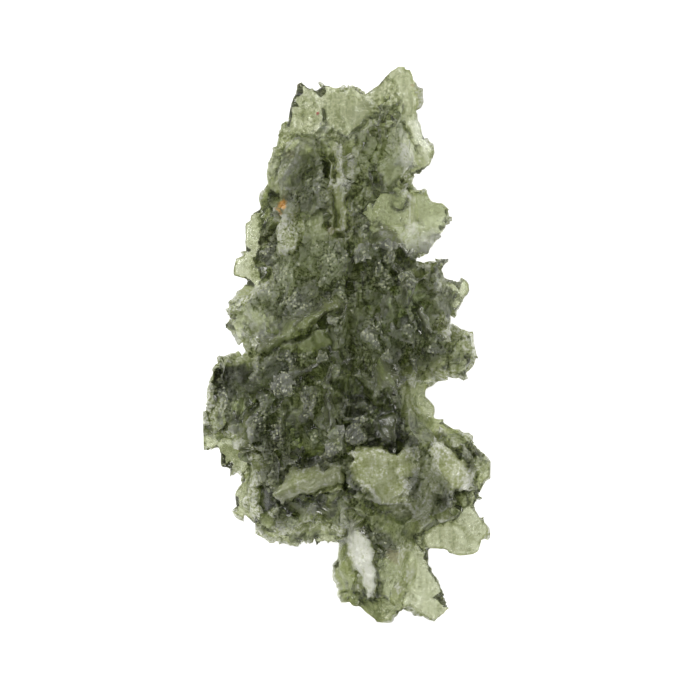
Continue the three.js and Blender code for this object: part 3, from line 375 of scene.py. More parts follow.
                   "tone": -0.3, "etch": 1.1},
    "leftMargin": {"outline": [(-4.1, 16.5), (-3.6, 14.2), (-4.5, 12.4), (-4.8, 9.7), (-5.7, 8.9),
                               (-5.7, 12.4), (-4.8, 14.4)],
                   "tone": -0.25, "etch": 0.8},
    "oliveBlock": {"outline": [(3.6, -4.7), (4.9, -4.7), (5.9, -5.1), (5.6, -6.8), (3.8, -7.0)],
                   "tone": -0.5, "etch": 0.5},
    "flangeRoot": {"outline": [(-6.0, 9.3), (-5.4, 10.5), (-4.8, 10.0), (-4.9, 7.0), (-5.3, 4.6),
                               (-6.0, 3.7), (-6.4, 5.0), (-5.9, 7.0)],
                   "tone": -0.6, "etch": 1.2, "haze": 0.12},
    "flangeUpper": {"outline": [(-7.1, 8.2), (-6.2, 9.2), (-5.9, 8.8), (-6.1, 6.5), (-7.1, 6.6)],
                    "tone": 0.0, "etch": 0.2, "haze": 0.05},
    "flangeLower": {"outline": [(-7.9, 5.9), (-6.8, 6.2), (-6.6, 4.4), (-7.9, 4.5)],
                    "tone": 0.1, "etch": 0.2},
    "lobeStep": {"outline": [(0.2, -9.9), (1.7, -10.4), (3.2, -10.8), (4.4, -10.7), (4.3, -11.8),
                             (2.6, -11.9), (0.9, -11.0)],
                 "tone": 0.3, "etch": 0.5, "haze": 0.35},
    "lobeLower": {"outline": [(1.7, 8.0), (3.6, 7.3), (6.6, 7.8), (6.8, 7.4), (5.2, 6.0), (3.9, 6.2),
                              (3.2, 6.8), (2.2, 7.0)],
                  "tone": 0.45, "etch": 0.3, "haze": 0.35},
    "lobeRim": {"outline": [(6.7, 9.3), (6.9, 8.6), (6.7, 7.3), (6.1, 6.6), (6.3, 8.0)],
                "tone": -0.3, "etch": 0.6},
}

# Finer ridges (positive) and grooves (negative) of the upper side, seen from above, in millimetres
creases = {
    "leftHornCut": {"line": [(-4.0, 15.4), (-3.0, 15.4), (-2.1, 15.6)], "height": -0.2, "width": 0.3},
    "hornNotch": {"line": [(-2.7, 17.4), (-2.2, 16.9), (-2.0, 16.2)], "height": -0.15, "width": 0.3},
    "rightHornHook": {"line": [(2.2, 17.8), (3.1, 17.9), (3.4, 17.5), (3.5, 16.3)],
                      "height": -0.35, "width": 0.2},
    "hornLine1": {"line": [(2.6, 17.7), (2.5, 15.8), (2.6, 13.8), (2.4, 12.3)],
                  "height": -0.2, "width": 0.2},
    "hornLine2": {"line": [(3.0, 17.5), (3.0, 15.6), (3.1, 13.8), (2.8, 12.6)],
                  "height": -0.2, "width": 0.2},
    "hornLine3": {"line": [(3.4, 16.5), (3.5, 14.4), (3.4, 13.2)], "height": -0.2, "width": 0.2},
    "plateCut": {"line": [(3.9, 14.9), (4.3, 14.0), (4.6, 13.1)], "height": -0.5, "width": 0.35},
    "stepUnderFace": {"line": [(2.2, 15.8), (1.0, 14.8), (-0.1, 14.2), (-1.1, 14.0)],
                      "height": -0.15, "width": 0.45},
    "stepLeft": {"line": [(-2.1, 15.2), (-2.8, 14.4), (-3.8, 13.9)], "height": -0.15, "width": 0.4},
    "column1": {"line": [(-1.5, 13.0), (-1.6, 10.4), (-1.3, 8.2)], "height": -0.45, "width": 0.3},
    "column2": {"line": [(-0.9, 12.6), (-0.9, 10.1), (-0.8, 8.0)], "height": -0.45, "width": 0.28},
    "column3": {"line": [(0.3, 13.1), (0.1, 10.4), (0.0, 7.7)], "height": -0.45, "width": 0.28},
    "column4": {"line": [(-0.2, 13.9), (-0.3, 12.1), (-0.7, 10.7)], "height": 0.25, "width": 0.25},
    "column5": {"line": [(1.3, 13.8), (0.9, 11.4), (0.3, 9.7)], "height": -0.4, "width": 0.35},
    "column6": {"line": [(2.0, 14.4), (1.6, 12.4), (2.0, 11.1)], "height": -0.45, "width": 0.3},
    "lobeArc": {"line": [(0.9, 8.8), (1.3, 9.6), (2.1, 10.3)], "height": -0.45, "width": 0.3},
    "lobeEdge": {"line": [(3.8, 11.1), (4.2, 10.4), (5.3, 10.0), (6.3, 9.6)], "height": -0.3, "width": 0.3},
    "shoulderCut": {"line": [(-4.6, 6.1), (-3.7, 6.2), (-3.0, 6.6)], "height": -0.35, "width": 0.3},
    "leftCut": {"line": [(-5.3, 5.6), (-4.8, 4.3), (-4.5, 3.1)], "height": -0.35, "width": 0.3},
    "lumpCrest": {"line": [(2.4, 6.6), (3.6, 6.8), (4.4, 5.7), (5.5, 5.6), (6.8, 5.8)],
                  "height": 0.45, "width": 0.35},
    "lumpUnder": {"line": [(2.4, 6.2), (2.6, 5.1), (3.7, 4.3)], "height": -0.35, "width": 0.3},
    "lumpRidge": {"line": [(2.8, 5.5), (3.8, 4.4)], "height": 0.35, "width": 0.25},
    "shardEdge": {"line": [(4.5, 2.8), (4.9, 1.5), (5.3, 0.7)], "height": -0.4, "width": 0.3},
    "centreLine1": {"line": [(0.3, 6.7), (0.5, 5.0), (0.6, 3.7)], "height": -0.35, "width": 0.25},
    "centreLine2": {"line": [(1.1, 6.5), (1.3, 5.0)], "height": 0.3, "width": 0.3},
    "centreCut": {"line": [(-2.5, 3.1), (-0.9, 3.9), (0.2, 4.5)], "height": -0.35, "width": 0.3},
    "bandEdge": {"line": [(-5.3, -0.5), (-2.9, 0.8), (-0.6, 2.2)], "height": -0.4, "width": 0.4},
    "streak1": {"line": [(-3.2, 0.7), (-3.4, -0.4)], "height": -0.3, "width": 0.25},
    "streak2": {"line": [(-2.3, 0.8), (-2.2, -0.5)], "height": -0.3, "width": 0.25},
    "streak3": {"line": [(-1.2, 1.0), (-1.1, -0.4)], "height": -0.35, "width": 0.3},
    "frostRow": {"line": [(-2.0, -1.0), (-0.5, -1.2), (0.3, -1.0)], "height": 0.3, "width": 0.35},
    "rightCrest": {"line": [(1.0, 1.1), (2.1, -0.1), (2.8, -1.0), (3.4, -2.1), (4.5, -2.4), (5.6, -2.5)],
                   "height": 0.45, "width": 0.35},
    "blockCut": {"line": [(6.0, 0.0), (5.5, -1.4)], "height": -0.35, "width": 0.35},
    "thinRidge": {"line": [(3.4, -2.7), (3.2, -4.5), (3.4, -6.8)], "height": 0.4, "width": 0.28},
    "thinCut": {"line": [(3.6, -3.2), (3.6, -5.1), (3.7, -6.8)], "height": -0.35, "width": 0.25},
    "curvedCut": {"line": [(0.3, -6.8), (1.7, -6.6), (2.6, -6.9), (3.7, -6.9)],
                  "height": -0.55, "width": 0.4},
    "blockRib1": {"line": [(-8.7, -1.2), (-8.8, -3.4), (-9.1, -5.6)], "height": -0.3, "width": 0.28},
    "blockRib2": {"line": [(-8.3, -1.2), (-8.1, -3.2), (-8.4, -5.4)], "height": 0.3, "width": 0.25},
    "blockRib3": {"line": [(-6.0, -0.7), (-6.3, -1.9)], "height": 0.35, "width": 0.25},
    "chainUpper": {"line": [(-6.4, -4.9), (-5.0, -3.2), (-3.8, -1.7)], "height": 0.35, "width": 0.22},
    "chainLower": {"line": [(-6.1, -5.1), (-5.0, -4.8), (-3.8, -3.6)], "height": 0.3, "width": 0.22},
    "chainCut": {"line": [(-6.7, -4.4), (-5.6, -3.3), (-4.2, -1.9)], "height": -0.35, "width": 0.22},
    "vRidge": {"line": [(-6.5, -5.1), (-6.3, -6.1), (-7.1, -7.8), (-7.1, -9.0)],
               "height": 0.45, "width": 0.32},
    "vArm1": {"line": [(-8.9, -6.4), (-7.7, -5.8), (-6.5, -5.4)], "height": 0.3, "width": 0.25},
    "vArm2": {"line": [(-8.9, -6.9), (-7.5, -6.6), (-6.5, -6.4)], "height": 0.3, "width": 0.22},
    "midCut": {"line": [(-1.4, -5.8), (-0.5, -5.3), (0.3, -5.6)], "height": -0.45, "width": 0.3},
    "midRow": {"line": [(-1.1, -6.0), (-0.1, -5.8), (0.9, -6.2)], "height": 0.35, "width": 0.3},
    "midCut2": {"line": [(-1.5, -6.3), (0.2, -6.3), (1.3, -6.7)], "height": -0.4, "width": 0.3},
    "midLine": {"line": [(-1.7, -3.9), (-1.5, -5.8), (-1.7, -8.1)], "height": 0.25, "width": 0.2},
    "slit": {"line": [(-0.1, -8.6), (-0.1, -9.8)], "height": -0.6, "width": 0.3},
    "slitRight": {"line": [(0.3, -8.4), (0.2, -9.3)], "height": 0.3, "width": 0.25},
    "bandUnder": {"line": [(-4.5, -10.5), (-3.2, -10.3), (-1.8, -9.7), (-0.3, -9.5)],
                  "height": -0.4, "width": 0.35},
    "lobeRidge": {"line": [(0.9, -9.1), (1.7, -9.9), (2.0, -10.5)], "height": 0.3, "width": 0.25},
    "lobeUnder": {"line": [(0.1, -10.5), (2.1, -11.0), (3.7, -11.8)], "height": -0.25, "width": 0.4},
    "finRidge": {"line": [(-0.2, -10.3), (0.0, -11.3), (-0.1, -13.2)], "height": 0.35, "width": 0.3},
    "lobeLine": {"line": [(3.8, -9.1), (4.4, -10.2), (4.8, -11.1)], "height": 0.3, "width": 0.25},
    "hollowRidge": {"line": [(-5.7, -9.1), (-6.2, -10.5), (-6.0, -11.8)], "height": 0.35, "width": 0.28},
    "hollowEdge": {"line": [(-5.3, -9.4), (-4.6, -10.6), (-3.7, -11.5)], "height": -0.35, "width": 0.3},
    "brightEdge": {"line": [(0.3, -11.9), (1.0, -12.3), (1.8, -14.2), (2.1, -15.6)],
                   "height": 0.3, "width": 0.22},
    "ribGroove": {"line": [(1.3, -12.5), (1.9, -14.0), (2.2, -15.5)], "height": -0.25, "width": 0.2},
    "tailEdge": {"line": [(1.6, -16.5), (2.0, -15.3)], "height": 0.3, "width": 0.2},
    "tailBand": {"line": [(-0.1, -16.7), (1.0, -16.8), (2.2, -17.3)], "height": -0.35, "width": 0.35},
    "tailSplit": {"line": [(3.9, -14.2), (3.8, -15.8), (4.4, -17.2)], "height": -0.3, "width": 0.3},
    "tailTips": {"line": [(3.8, -16.8), (3.3, -18.0)], "height": -0.35, "width": 0.3},
    "flangeTop": {"line": [(5.2, -13.7), (5.3, -12.6), (6.7, -11.9), (7.7, -12.3)],
                  "height": -0.4, "width": 0.35},
    "flangeStreak": {"line": [(7.3, -12.3), (8.1, -13.5), (9.0, -13.8)], "height": 0.3, "width": 0.3},
    "faceEdge": {"line": [(6.3, -6.2), (7.3, -7.1), (8.3, -8.2)], "height": -0.35, "width": 0.3},
    "rimCut": {"line": [(6.8, -5.8), (7.7, -6.6), (8.5, -7.5)], "height": -0.35, "width": 0.3},
}


def etchingTree():  # facets that lean each their own way, and rows of cups that meet in sharp ridges
    tree = bpy.data.node_groups.new("etchedSurface", "GeometryNodeTree")
    numbers = ("Facet size", "Facet tilt", "Cup size", "Cup depth", "Small cup size", "Small cup depth",
               "Flow size", "Flow depth", "Stretch", "Wander")
    tree.interface.new_socket(name="Geometry", in_out="INPUT", socket_type="NodeSocketGeometry")
    for name in numbers:
        tree.interface.new_socket(name=name, in_out="INPUT", socket_type="NodeSocketFloat")
    tree.interface.new_socket(name="Seed", in_out="INPUT", socket_type="NodeSocketInt")
    tree.interface.new_socket(name="Material", in_out="INPUT", socket_type="NodeSocketMaterial")
    tree.interface.new_socket(name="Geometry", in_out="OUTPUT", socket_type="NodeSocketGeometry")
    given = addNode(tree, "NodeGroupInput").outputs

    # The place on the pattern: shifted by the seed, bent, and drawn out along the stone
    place = addNode(tree, "GeometryNodeInputPosition")
    shift = addNode(tree, "ShaderNodeCombineXYZ", links={"X": given["Seed"], "Z": given["Seed"]})
    seeded = addNode(tree, "ShaderNodeVectorMath", {"operation": "ADD"}, {0: place, 1: shift})
    bend = addNode(tree, "ShaderNodeTexNoise",
                   links={"Vector": seeded, "Scale": stoneSizes["bends"], "Detail": stoneSizes["bendDetail"]})
    bothWays = addNode(tree, "ShaderNodeVectorMath", {"operation": "SUBTRACT"},
                       {0: bend.outputs["Color"], 1: middleGrey})
    bent = addNode(tree, "ShaderNodeVectorMath", {"operation": "SCALE"},
                   {0: bothWays, "Scale": given["Wander"]})
    warped = addNode(tree, "ShaderNodeVectorMath", {"operation": "ADD"}, {0: seeded, 1: bent})
    pace = addNode(tree, "ShaderNodeCombineXYZ", links={"X": 1.0, "Y": given["Stretch"], "Z": 1.0})
    drawn = addNode(tree, "ShaderNodeVectorMath", {"operation": "MULTIPLY"}, {0: warped, 1: pace})

    # Each facet is a cell of its own with a random lean
    perFacet = addNode(tree, "ShaderNodeMath", {"operation": "DIVIDE"}, {0: 1.0, 1: given["Facet size"]})
    cell = addNode(tree, "ShaderNodeTexVoronoi", {"feature": "F1"}, {"Vector": drawn, "Scale": perFacet})
    fromMiddle = addNode(tree, "ShaderNodeVectorMath", {"operation": "SUBTRACT"},
                         {0: drawn, 1: cell.outputs["Position"]})
    lean = addNode(tree, "ShaderNodeVectorMath", {"operation": "SUBTRACT"},
                   {0: cell.outputs["Color"], 1: middleGrey})
    slope = addNode(tree, "ShaderNodeVectorMath", {"operation": "DOT_PRODUCT"}, {0: fromMiddle, 1: lean})
    total = addNode(tree, "ShaderNodeMath", {"operation": "MULTIPLY"},
                    {0: slope.outputs["Value"], 1: given["Facet tilt"]})

    # Two sizes of cups: the distance from a cell's middle rises to a sharp ridge at its edge
    for size, depth in (("Cup size", "Cup depth"), ("Small cup size", "Small cup depth")):
        perCup = addNode(tree, "ShaderNodeMath", {"operation": "DIVIDE"}, {0: 1.0, 1: given[size]})
        cup = addNode(tree, "ShaderNodeTexVoronoi", {"feature": "F1"}, {"Vector": drawn, "Scale": perCup})
        bowl = addNode(tree, "ShaderNodeMath", {"operation": "POWER"}, {0: cup, 1: stoneSizes["cupPower"]})
        level = addNode(tree, "ShaderNodeMath", {"operation": "SUBTRACT"},
                        {0: bowl, 1: stoneSizes["cupMiddle"]})
        total = addNode(tree, "ShaderNodeMath", {"operation": "MULTIPLY_ADD"},
                        {0: level, 1: given[depth], 2: total})

    # Flow lines: long wavy furrows along the stone
    perLine = addNode(tree, "ShaderNodeMath", {"operation": "DIVIDE"}, {0: 1.0, 1: given["Flow size"]})
    drawnOut = addNode(tree, "ShaderNodeVectorMath", {"operation": "MULTIPLY"},
                       {0: warped, 1: stoneSizes["flowPace"]})
    flow = addNode(tree, "ShaderNodeTexNoise",
                   links={"Vector": drawnOut, "Scale": perLine, "Detail": stoneSizes["flowDetail"]})
    furrow = addNode(tree, "ShaderNodeMath", {"operation": "SUBTRACT"}, {0: flow, 1: middleValue})
    total = addNode(tree, "ShaderNodeMath", {"operation": "MULTIPLY_ADD"},
                    {0: furrow, 1: given["Flow depth"], 2: total})

    # All of it is scaled by the etching that a place has, and moves the surface along its normal
    bite = addNode(tree, "GeometryNodeInputNamedAttribute", {"data_type": "FLOAT"}, {"Name": "etch"})
    bitten = addNode(tree, "ShaderNodeMath", {"operation": "MULTIPLY"}, {0: total, 1: bite})
    normal = addNode(tree, "GeometryNodeInputNormal")
    offset = addNode(tree, "ShaderNodeVectorMath", {"operation": "SCALE"}, {0: normal, "Scale": bitten})
    moved = addNode(tree, "GeometryNodeSetPosition", links={"Geometry": given["Geometry"], "Offset": offset})
    real = addNode(tree, "GeometryNodeRealizeInstances", links={"Geometry": moved})
    dressed = addNode(tree, "GeometryNodeSetMaterial",
                      links={"Geometry": real, "Material": given["Material"]})
    addNode(tree, "NodeGroupOutput", links={"Geometry": dressed})
    return tree


def etchedGlass():  # natural moldavite glass: see-through olive, with a satin etch that scatters light
    look = {
        # Tints from crevices in painted shade to crests in painted highlight, of the light that goes through
        # and of what hazy glass sends back
        "clearTints": ("#3a4023", "#7f8658", "#bcbfa4", "#e1e4ce", "#fbfcf4"),
        "hazyTints": ("#3a4023", "#78814f", "#a1aa6c", "#bbc192", "#f4f6e6"),
        "hazyFrom": 4.0,  # times its haze, a place's share of the hazy tint
        "haze": 0.09,  # share of light that the glass scatters inside, away from its hazy faces
        "mottle": (0.2, 1.6),  # the least of a place's haze, and what the patches add
        "ior": 1.49,
        "absorption": (0.58, 0.63, 0.39),
        "absorptionPerMetre": 780.0,
        "roughness": (0.14, 0.48),  # from the smooth places to the etched ones
        "coat": {"Coat Weight": 0.2, "Coat Roughness": 0.12, "Coat IOR": 1.8},  # glints of the finest facets
        "sparkSize": 0.17,  # mm across those, as coarse as they need to be to show
        "sparkTilt": 0.9,
        # Noises: mm across a grain, pace across, along and up, and settings
        "noises": {
            "grain": (0.45, (1, 1, 1), {"Detail": 4.0, "Roughness": 0.6}),
            "fleck": (0.2, (1, 1, 1), {"Detail": 2.0, "Roughness": 0.7}),
            "patch": (1.9, (1, 1, 1), {"Detail": 3.0}),
            "streak": (0.34, (1.0, 0.11, 0.6), {"Detail": 2.0, "Distortion": 0.4}),
        },
        "fleckTone": (0.9, 2.1),  # swing of the flecks' tone on smooth glass, and what the etching adds
        # More in some patches
        "fleckPatch": {"From Min": 0.38, "From Max": 0.6, "To Min": 0.3, "To Max": 1.2},
        "streakTone": 0.55,
        # pale specks: partly the frosting of etched glass, partly painted glints of its tiny facets
        "frost": "#cdd2a9",
        "frostAndGlintSize": 0.2,  # mm across a speck, frosted and partly a painted glint, as coarse as it needs to be to show
        "frostAndGlintBy": {"chance": 0.5, "tone": 0.45, "patch": 1.7},  # what decides where the specks are
        "frostAndGlintShare": {"From Min": 0.56, "From Max": 0.68},  # from none to all of them
        "frostAndGlintRim": {"From Min": 0.50, "From Max": 0.36},  # distance from a speck's middle where it fades in
        "frostCover": (0.21, 0.49),  # how much a speck covers on smooth glass, and what the etching adds
        "grainBump": 0.35,
        "grainHeight": 0.3,  # mm
        "stains": {  # iron-stained soil in pits: middle in mm, radius in mm, colour, how much it covers
            "orangeSpot": ((-4.4, 9.3), 0.3, "#e2ab5c", 0.95),
            "orangeTrace": ((-4.5, 8.8), 0.15, "#c48f4c", 0.5),
            "brownPatch": ((-1.1, 7.7), 0.28, "#a08a68", 0.3),
            "tanPatch": ((-3.8, 12.8), 0.25, "#a8946c", 0.25),
            "hornTrace": ((4.4, 17.5), 0.12, "#c9a878", 0.4),
            "tailTrace": ((3.0, -14.2), 0.45, "#b9945f", 0.3),
            "redSpeck": ((-2.0, 15.6), 0.1, "#d85a58", 0.8),
            "hornTip": ((-3.3, 17.6), 0.2, "#a8876c", 0.3),
        },
        "stainEdge": (0.7, 1.3),  # in radii, where a stain starts to fade and where it ends
        "stainWander": 4,  # the whole swing of a stain's ragged edge, in radii
    }
    material = bpy.data.materials.new("etchedMoldaviteGlass")
    material.use_nodes = True
    tree = material.node_tree
    tree.nodes.clear()
    place = addNode(tree, "ShaderNodeTexCoord").outputs["Object"]
    tone = addNode(tree, "ShaderNodeAttribute", {"attribute_name": "tone"}).outputs["Fac"]
    etch = addNode(tree, "ShaderNodeAttribute", {"attribute_name": "etch"}).outputs["Fac"]
    haze = addNode(tree, "ShaderNodeAttribute", {"attribute_name": "haze"}).outputs["Fac"]
    noises = {}
    bothWays = {}
    for name, (size, pace, settings) in look["noises"].items():
        drawn = addNode(tree, "ShaderNodeVectorMath", {"operation": "MULTIPLY"}, {0: place, 1: pace})
        noises[name] = addNode(tree, "ShaderNodeTexNoise",
                               links={"Vector": drawn, "Scale": 1 / (size * mm), **settings})
        bothWays[name] = addNode(tree, "ShaderNodeMath", {"operation": "SUBTRACT"},
                                 {0: noises[name], 1: middleValue})

    # Tone: what the carving gave, painted shade, highlights and sheen included, with flecks in patches and
    # faint streaks along the stone
    smooth, etched = look["fleckTone"]
    swing = addNode(tree, "ShaderNodeMath", {"operation": "MULTIPLY_ADD"}, {0: etch, 1: etched, 2: smooth})
    patchy = addNode(tree, "ShaderNodeMapRange", links={"Value": noises["patch"], **look["fleckPatch"]})
    strength = addNode(tree, "ShaderNodeMath", {"operation": "MULTIPLY"}, {0: swing, 1: patchy})
    flecked = addNode(tree, "ShaderNodeMath", {"operation": "MULTIPLY"}, {0: bothWays["fleck"], 1: strength})
    streaked = addNode(tree, "ShaderNodeMath", {"operation": "MULTIPLY_ADD"},
                       {0: bothWays["streak"], 1: look["streakTone"], 2: flecked})
    shaded = addNode(tree, "ShaderNodeMath", {"operation": "ADD"}, {0: tone, 1: streaked})
    tints = []
    for stops in (look["clearTints"], look["hazyTints"]):
        tint = addNode(tree, "ShaderNodeValToRGB", links={"Fac": shaded})
        ramp = tint.color_ramp.elements
        ramp[0].color = fromHex(stops[0])
        ramp[1].color = fromHex(stops[-1])
        for number, code in enumerate(stops[1:-1], 1):
            ramp.new(number / (len(stops) - 1)).color = fromHex(code)
        tints.append(tint)
    hazyShare = addNode(tree, "ShaderNodeMath", {"operation": "MULTIPLY", "use_clamp": True},
                        {0: haze, 1: look["hazyFrom"]})
    colour = addNode(tree, "ShaderNodeMix", {"data_type": "RGBA"},
                     {0: hazyShare, 6: tints[0], 7: tints[1]}).outputs[2]

    # Frosted specks, partly painted glints of tiny facets: scattered pale grains, thickest on the crests and in
    # patches
    frostAndGlintBy = look["frostAndGlintBy"]
    speck = addNode(tree, "ShaderNodeTexVoronoi",
                    links={"Vector": place, "Scale": 1 / (look["frostAndGlintSize"] * mm)})
    chance = addNode(tree, "ShaderNodeSeparateColor", links={0: speck.outputs["Color"]})
    byTone = addNode(tree, "ShaderNodeMath", {"operation": "MULTIPLY"}, {0: tone, 1: frostAndGlintBy["tone"]})
    byChance = addNode(tree, "ShaderNodeMath", {"operation": "MULTIPLY_ADD"},
                       {0: chance, 1: frostAndGlintBy["chance"], 2: byTone})
    likely = addNode(tree, "ShaderNodeMath", {"operation": "MULTIPLY_ADD"},
                     {0: bothWays["patch"], 1: frostAndGlintBy["patch"], 2: byChance})
    chosen = addNode(tree, "ShaderNodeMapRange", links={"Value": likely, **look["frostAndGlintShare"]})
    disc = addNode(tree, "ShaderNodeMapRange", links={"Value": speck.outputs["Distance"], **look["frostAndGlintRim"]})
    smooth, etched = look["frostCover"]
    cover = addNode(tree, "ShaderNodeMath", {"operation": "MULTIPLY_ADD"}, {0: etch, 1: etched, 2: smooth})
    shape = addNode(tree, "ShaderNodeMath", {"operation": "MULTIPLY"}, {0: chosen, 1: disc})
    frost = addNode(tree, "ShaderNodeMath", {"operation": "MULTIPLY"}, {0: shape, 1: cover})
    colour = addNode(tree, "ShaderNodeMix", {"data_type": "RGBA"},
                     {0: frost, 6: colour, 7: fromHex(look["frost"])}).outputs[2]

    # How much light comes back instead of going through: haze in mottles, frost specks that are partly painted
    # glints, and stains
    least, added = look["mottle"]
    mottled = addNode(tree, "ShaderNodeMath", {"operation": "MULTIPLY_ADD"},
                      {0: noises["patch"], 1: added, 2: least})
    hazed = addNode(tree, "ShaderNodeMath", {"operation": "MULTIPLY_ADD"},
                    {0: haze, 1: mottled, 2: look["haze"]})
    opaque = addNode(tree, "ShaderNodeMath", {"operation": "MAXIMUM"}, {0: frost, 1: hazed})
    fromAbove = addNode(tree, "ShaderNodeVectorMath", {"operation": "MULTIPLY"}, {0: place, 1: (1, 1, 0)})
    for middle, radius, stain, covers in look["stains"].values():
        away = addNode(tree, "ShaderNodeVectorMath", {"operation": "DISTANCE"},
                       {0: fromAbove, 1: (middle[0] * mm, middle[1] * mm, 0)})
        ragged = addNode(tree, "ShaderNodeMath", {"operation": "MULTIPLY_ADD"},
                         {0: bothWays["grain"], 1: radius * mm * look["stainWander"], 2: away.outputs["Value"]})
        fadeStart, fadeEnd = look["stainEdge"]
        share = addNode(tree, "ShaderNodeMapRange",
                        links={"Value": ragged, "From Min": radius * mm * fadeStart,
                               "From Max": radius * mm * fadeEnd, "To Min": covers, "To Max": 0.0})
        colour = addNode(tree, "ShaderNodeMix", {"data_type": "RGBA"},
                         {0: share, 6: colour, 7: fromHex(stain)}).outputs[2]
        opaque = addNode(tree, "ShaderNodeMath", {"operation": "MAXIMUM"}, {0: opaque, 1: share})
    through = addNode(tree, "ShaderNodeMath", {"operation": "SUBTRACT"}, {0: 1.0, 1: opaque})

    # The body is faintly uneven, and the coat glints from tiny facets that lean each their own way
    coarse = addNode(tree, "ShaderNodeBump",
                     links={"Height": noises["grain"], "Strength": look["grainBump"],
                            "Distance": look["grainHeight"] * mm})
    spark = addNode(tree, "ShaderNodeTexVoronoi",
                    links={"Vector": place, "Scale": 1 / (look["sparkSize"] * mm)})
    lean = addNode(tree, "ShaderNodeVectorMath", {"operation": "SUBTRACT"},
                   {0: spark.outputs["Color"], 1: middleGrey})
    tilt = addNode(tree, "ShaderNodeMath", {"operation": "MULTIPLY"}, {0: etch, 1: look["sparkTilt"]})
    leaned = addNode(tree, "ShaderNodeVectorMath", {"operation": "SCALE"}, {0: lean, "Scale": tilt})
    turned = addNode(tree, "ShaderNodeVectorMath", {"operation": "ADD"}, {0: coarse, 1: leaned})
    sparkle = addNode(tree, "ShaderNodeVectorMath", {"operation": "NORMALIZE"}, {0: turned})
    satin, etchedRough = look["roughness"]
    rough = addNode(tree, "ShaderNodeMapRange", links={"Value": etch, "To Min": satin, "To Max": etchedRough})
    shader = addNode(tree, "ShaderNodeBsdfPrincipled",
                     links={"Base Color": colour, "Roughness": rough, "IOR": look["ior"],
                            "Transmission Weight": through, "Normal": coarse, "Coat Normal": sparkle,
                            **look["coat"]})
    absorb = addNode(tree, "ShaderNodeVolumeAbsorption",
                     links={"Color": (*look["absorption"], 1.0), "Density": look["absorptionPerMetre"]})
    addNode(tree, "ShaderNodeOutputMaterial", links={"Surface": shader, "Volume": absorb})
    return material


def crestShare(mesh):  # -1 in a crevice, 1 on a crest, from how far a point stands out of its surroundings
    points, normals = vertexValues(mesh, "co"), vertexValues(mesh, "normal")
    edges = np.empty(len(mesh.edges) * 2, dtype=int)
    mesh.edges.foreach_get("vertices", edges)
    first, second = edges.reshape(-1, 2).T
    count = np.bincount(edges, minlength=len(points))[:, None]
    eased = points.copy()
    share = np.zeros(len(points))
    for turn in range(1, max(stoneSizes["crests"]) + 1):
        total = np.stack([np.bincount(first, eased[second, k], len(points))
                          + np.bincount(second, eased[first, k], len(points)) for k in range(3)], axis=1)
        eased = (eased + total / count) / 2
        if turn in stoneSizes["crests"]:
            share += np.einsum("ij,ij->i", points - eased, normals) / stoneSizes["crests"][turn]
    print("crests stand out by", round(float(np.std(share)), 2))
    return np.tanh(share)


def remeshed(stone):  # even points all over the stone, in millimetres, with its thin margins kept
    mesh = stone.data
    work = bmesh.new()
    work.from_mesh(mesh)
    bmesh.ops.remove_doubles(work, verts=work.verts, dist=stoneSizes["weld"])
    bmesh.ops.scale(work, vec=Vector((1, 1, 1)) / mm, verts=work.verts)
    work.to_mesh(mesh)
    rim = BVHTree.FromBMesh(work)
    work.free()
    remesh = stone.modifiers.new("remesh", "REMESH")
    remesh.mode = "VOXEL"
    remesh.voxel_size = stoneSizes["voxel"]
    ease = stone.modifiers.new("ease", "SMOOTH")
    ease.factor, ease.iterations = stoneSizes["easing"]
    mesh = applied(stone, "carvedStone")
    points = outToRim(vertexValues(mesh, "co"), vertexValues(mesh, "normal"), rim)
    mesh.vertices.foreach_set("co", points.ravel())
    mesh.update()
    print("stone remeshed:", len(points), "points")
    return mesh


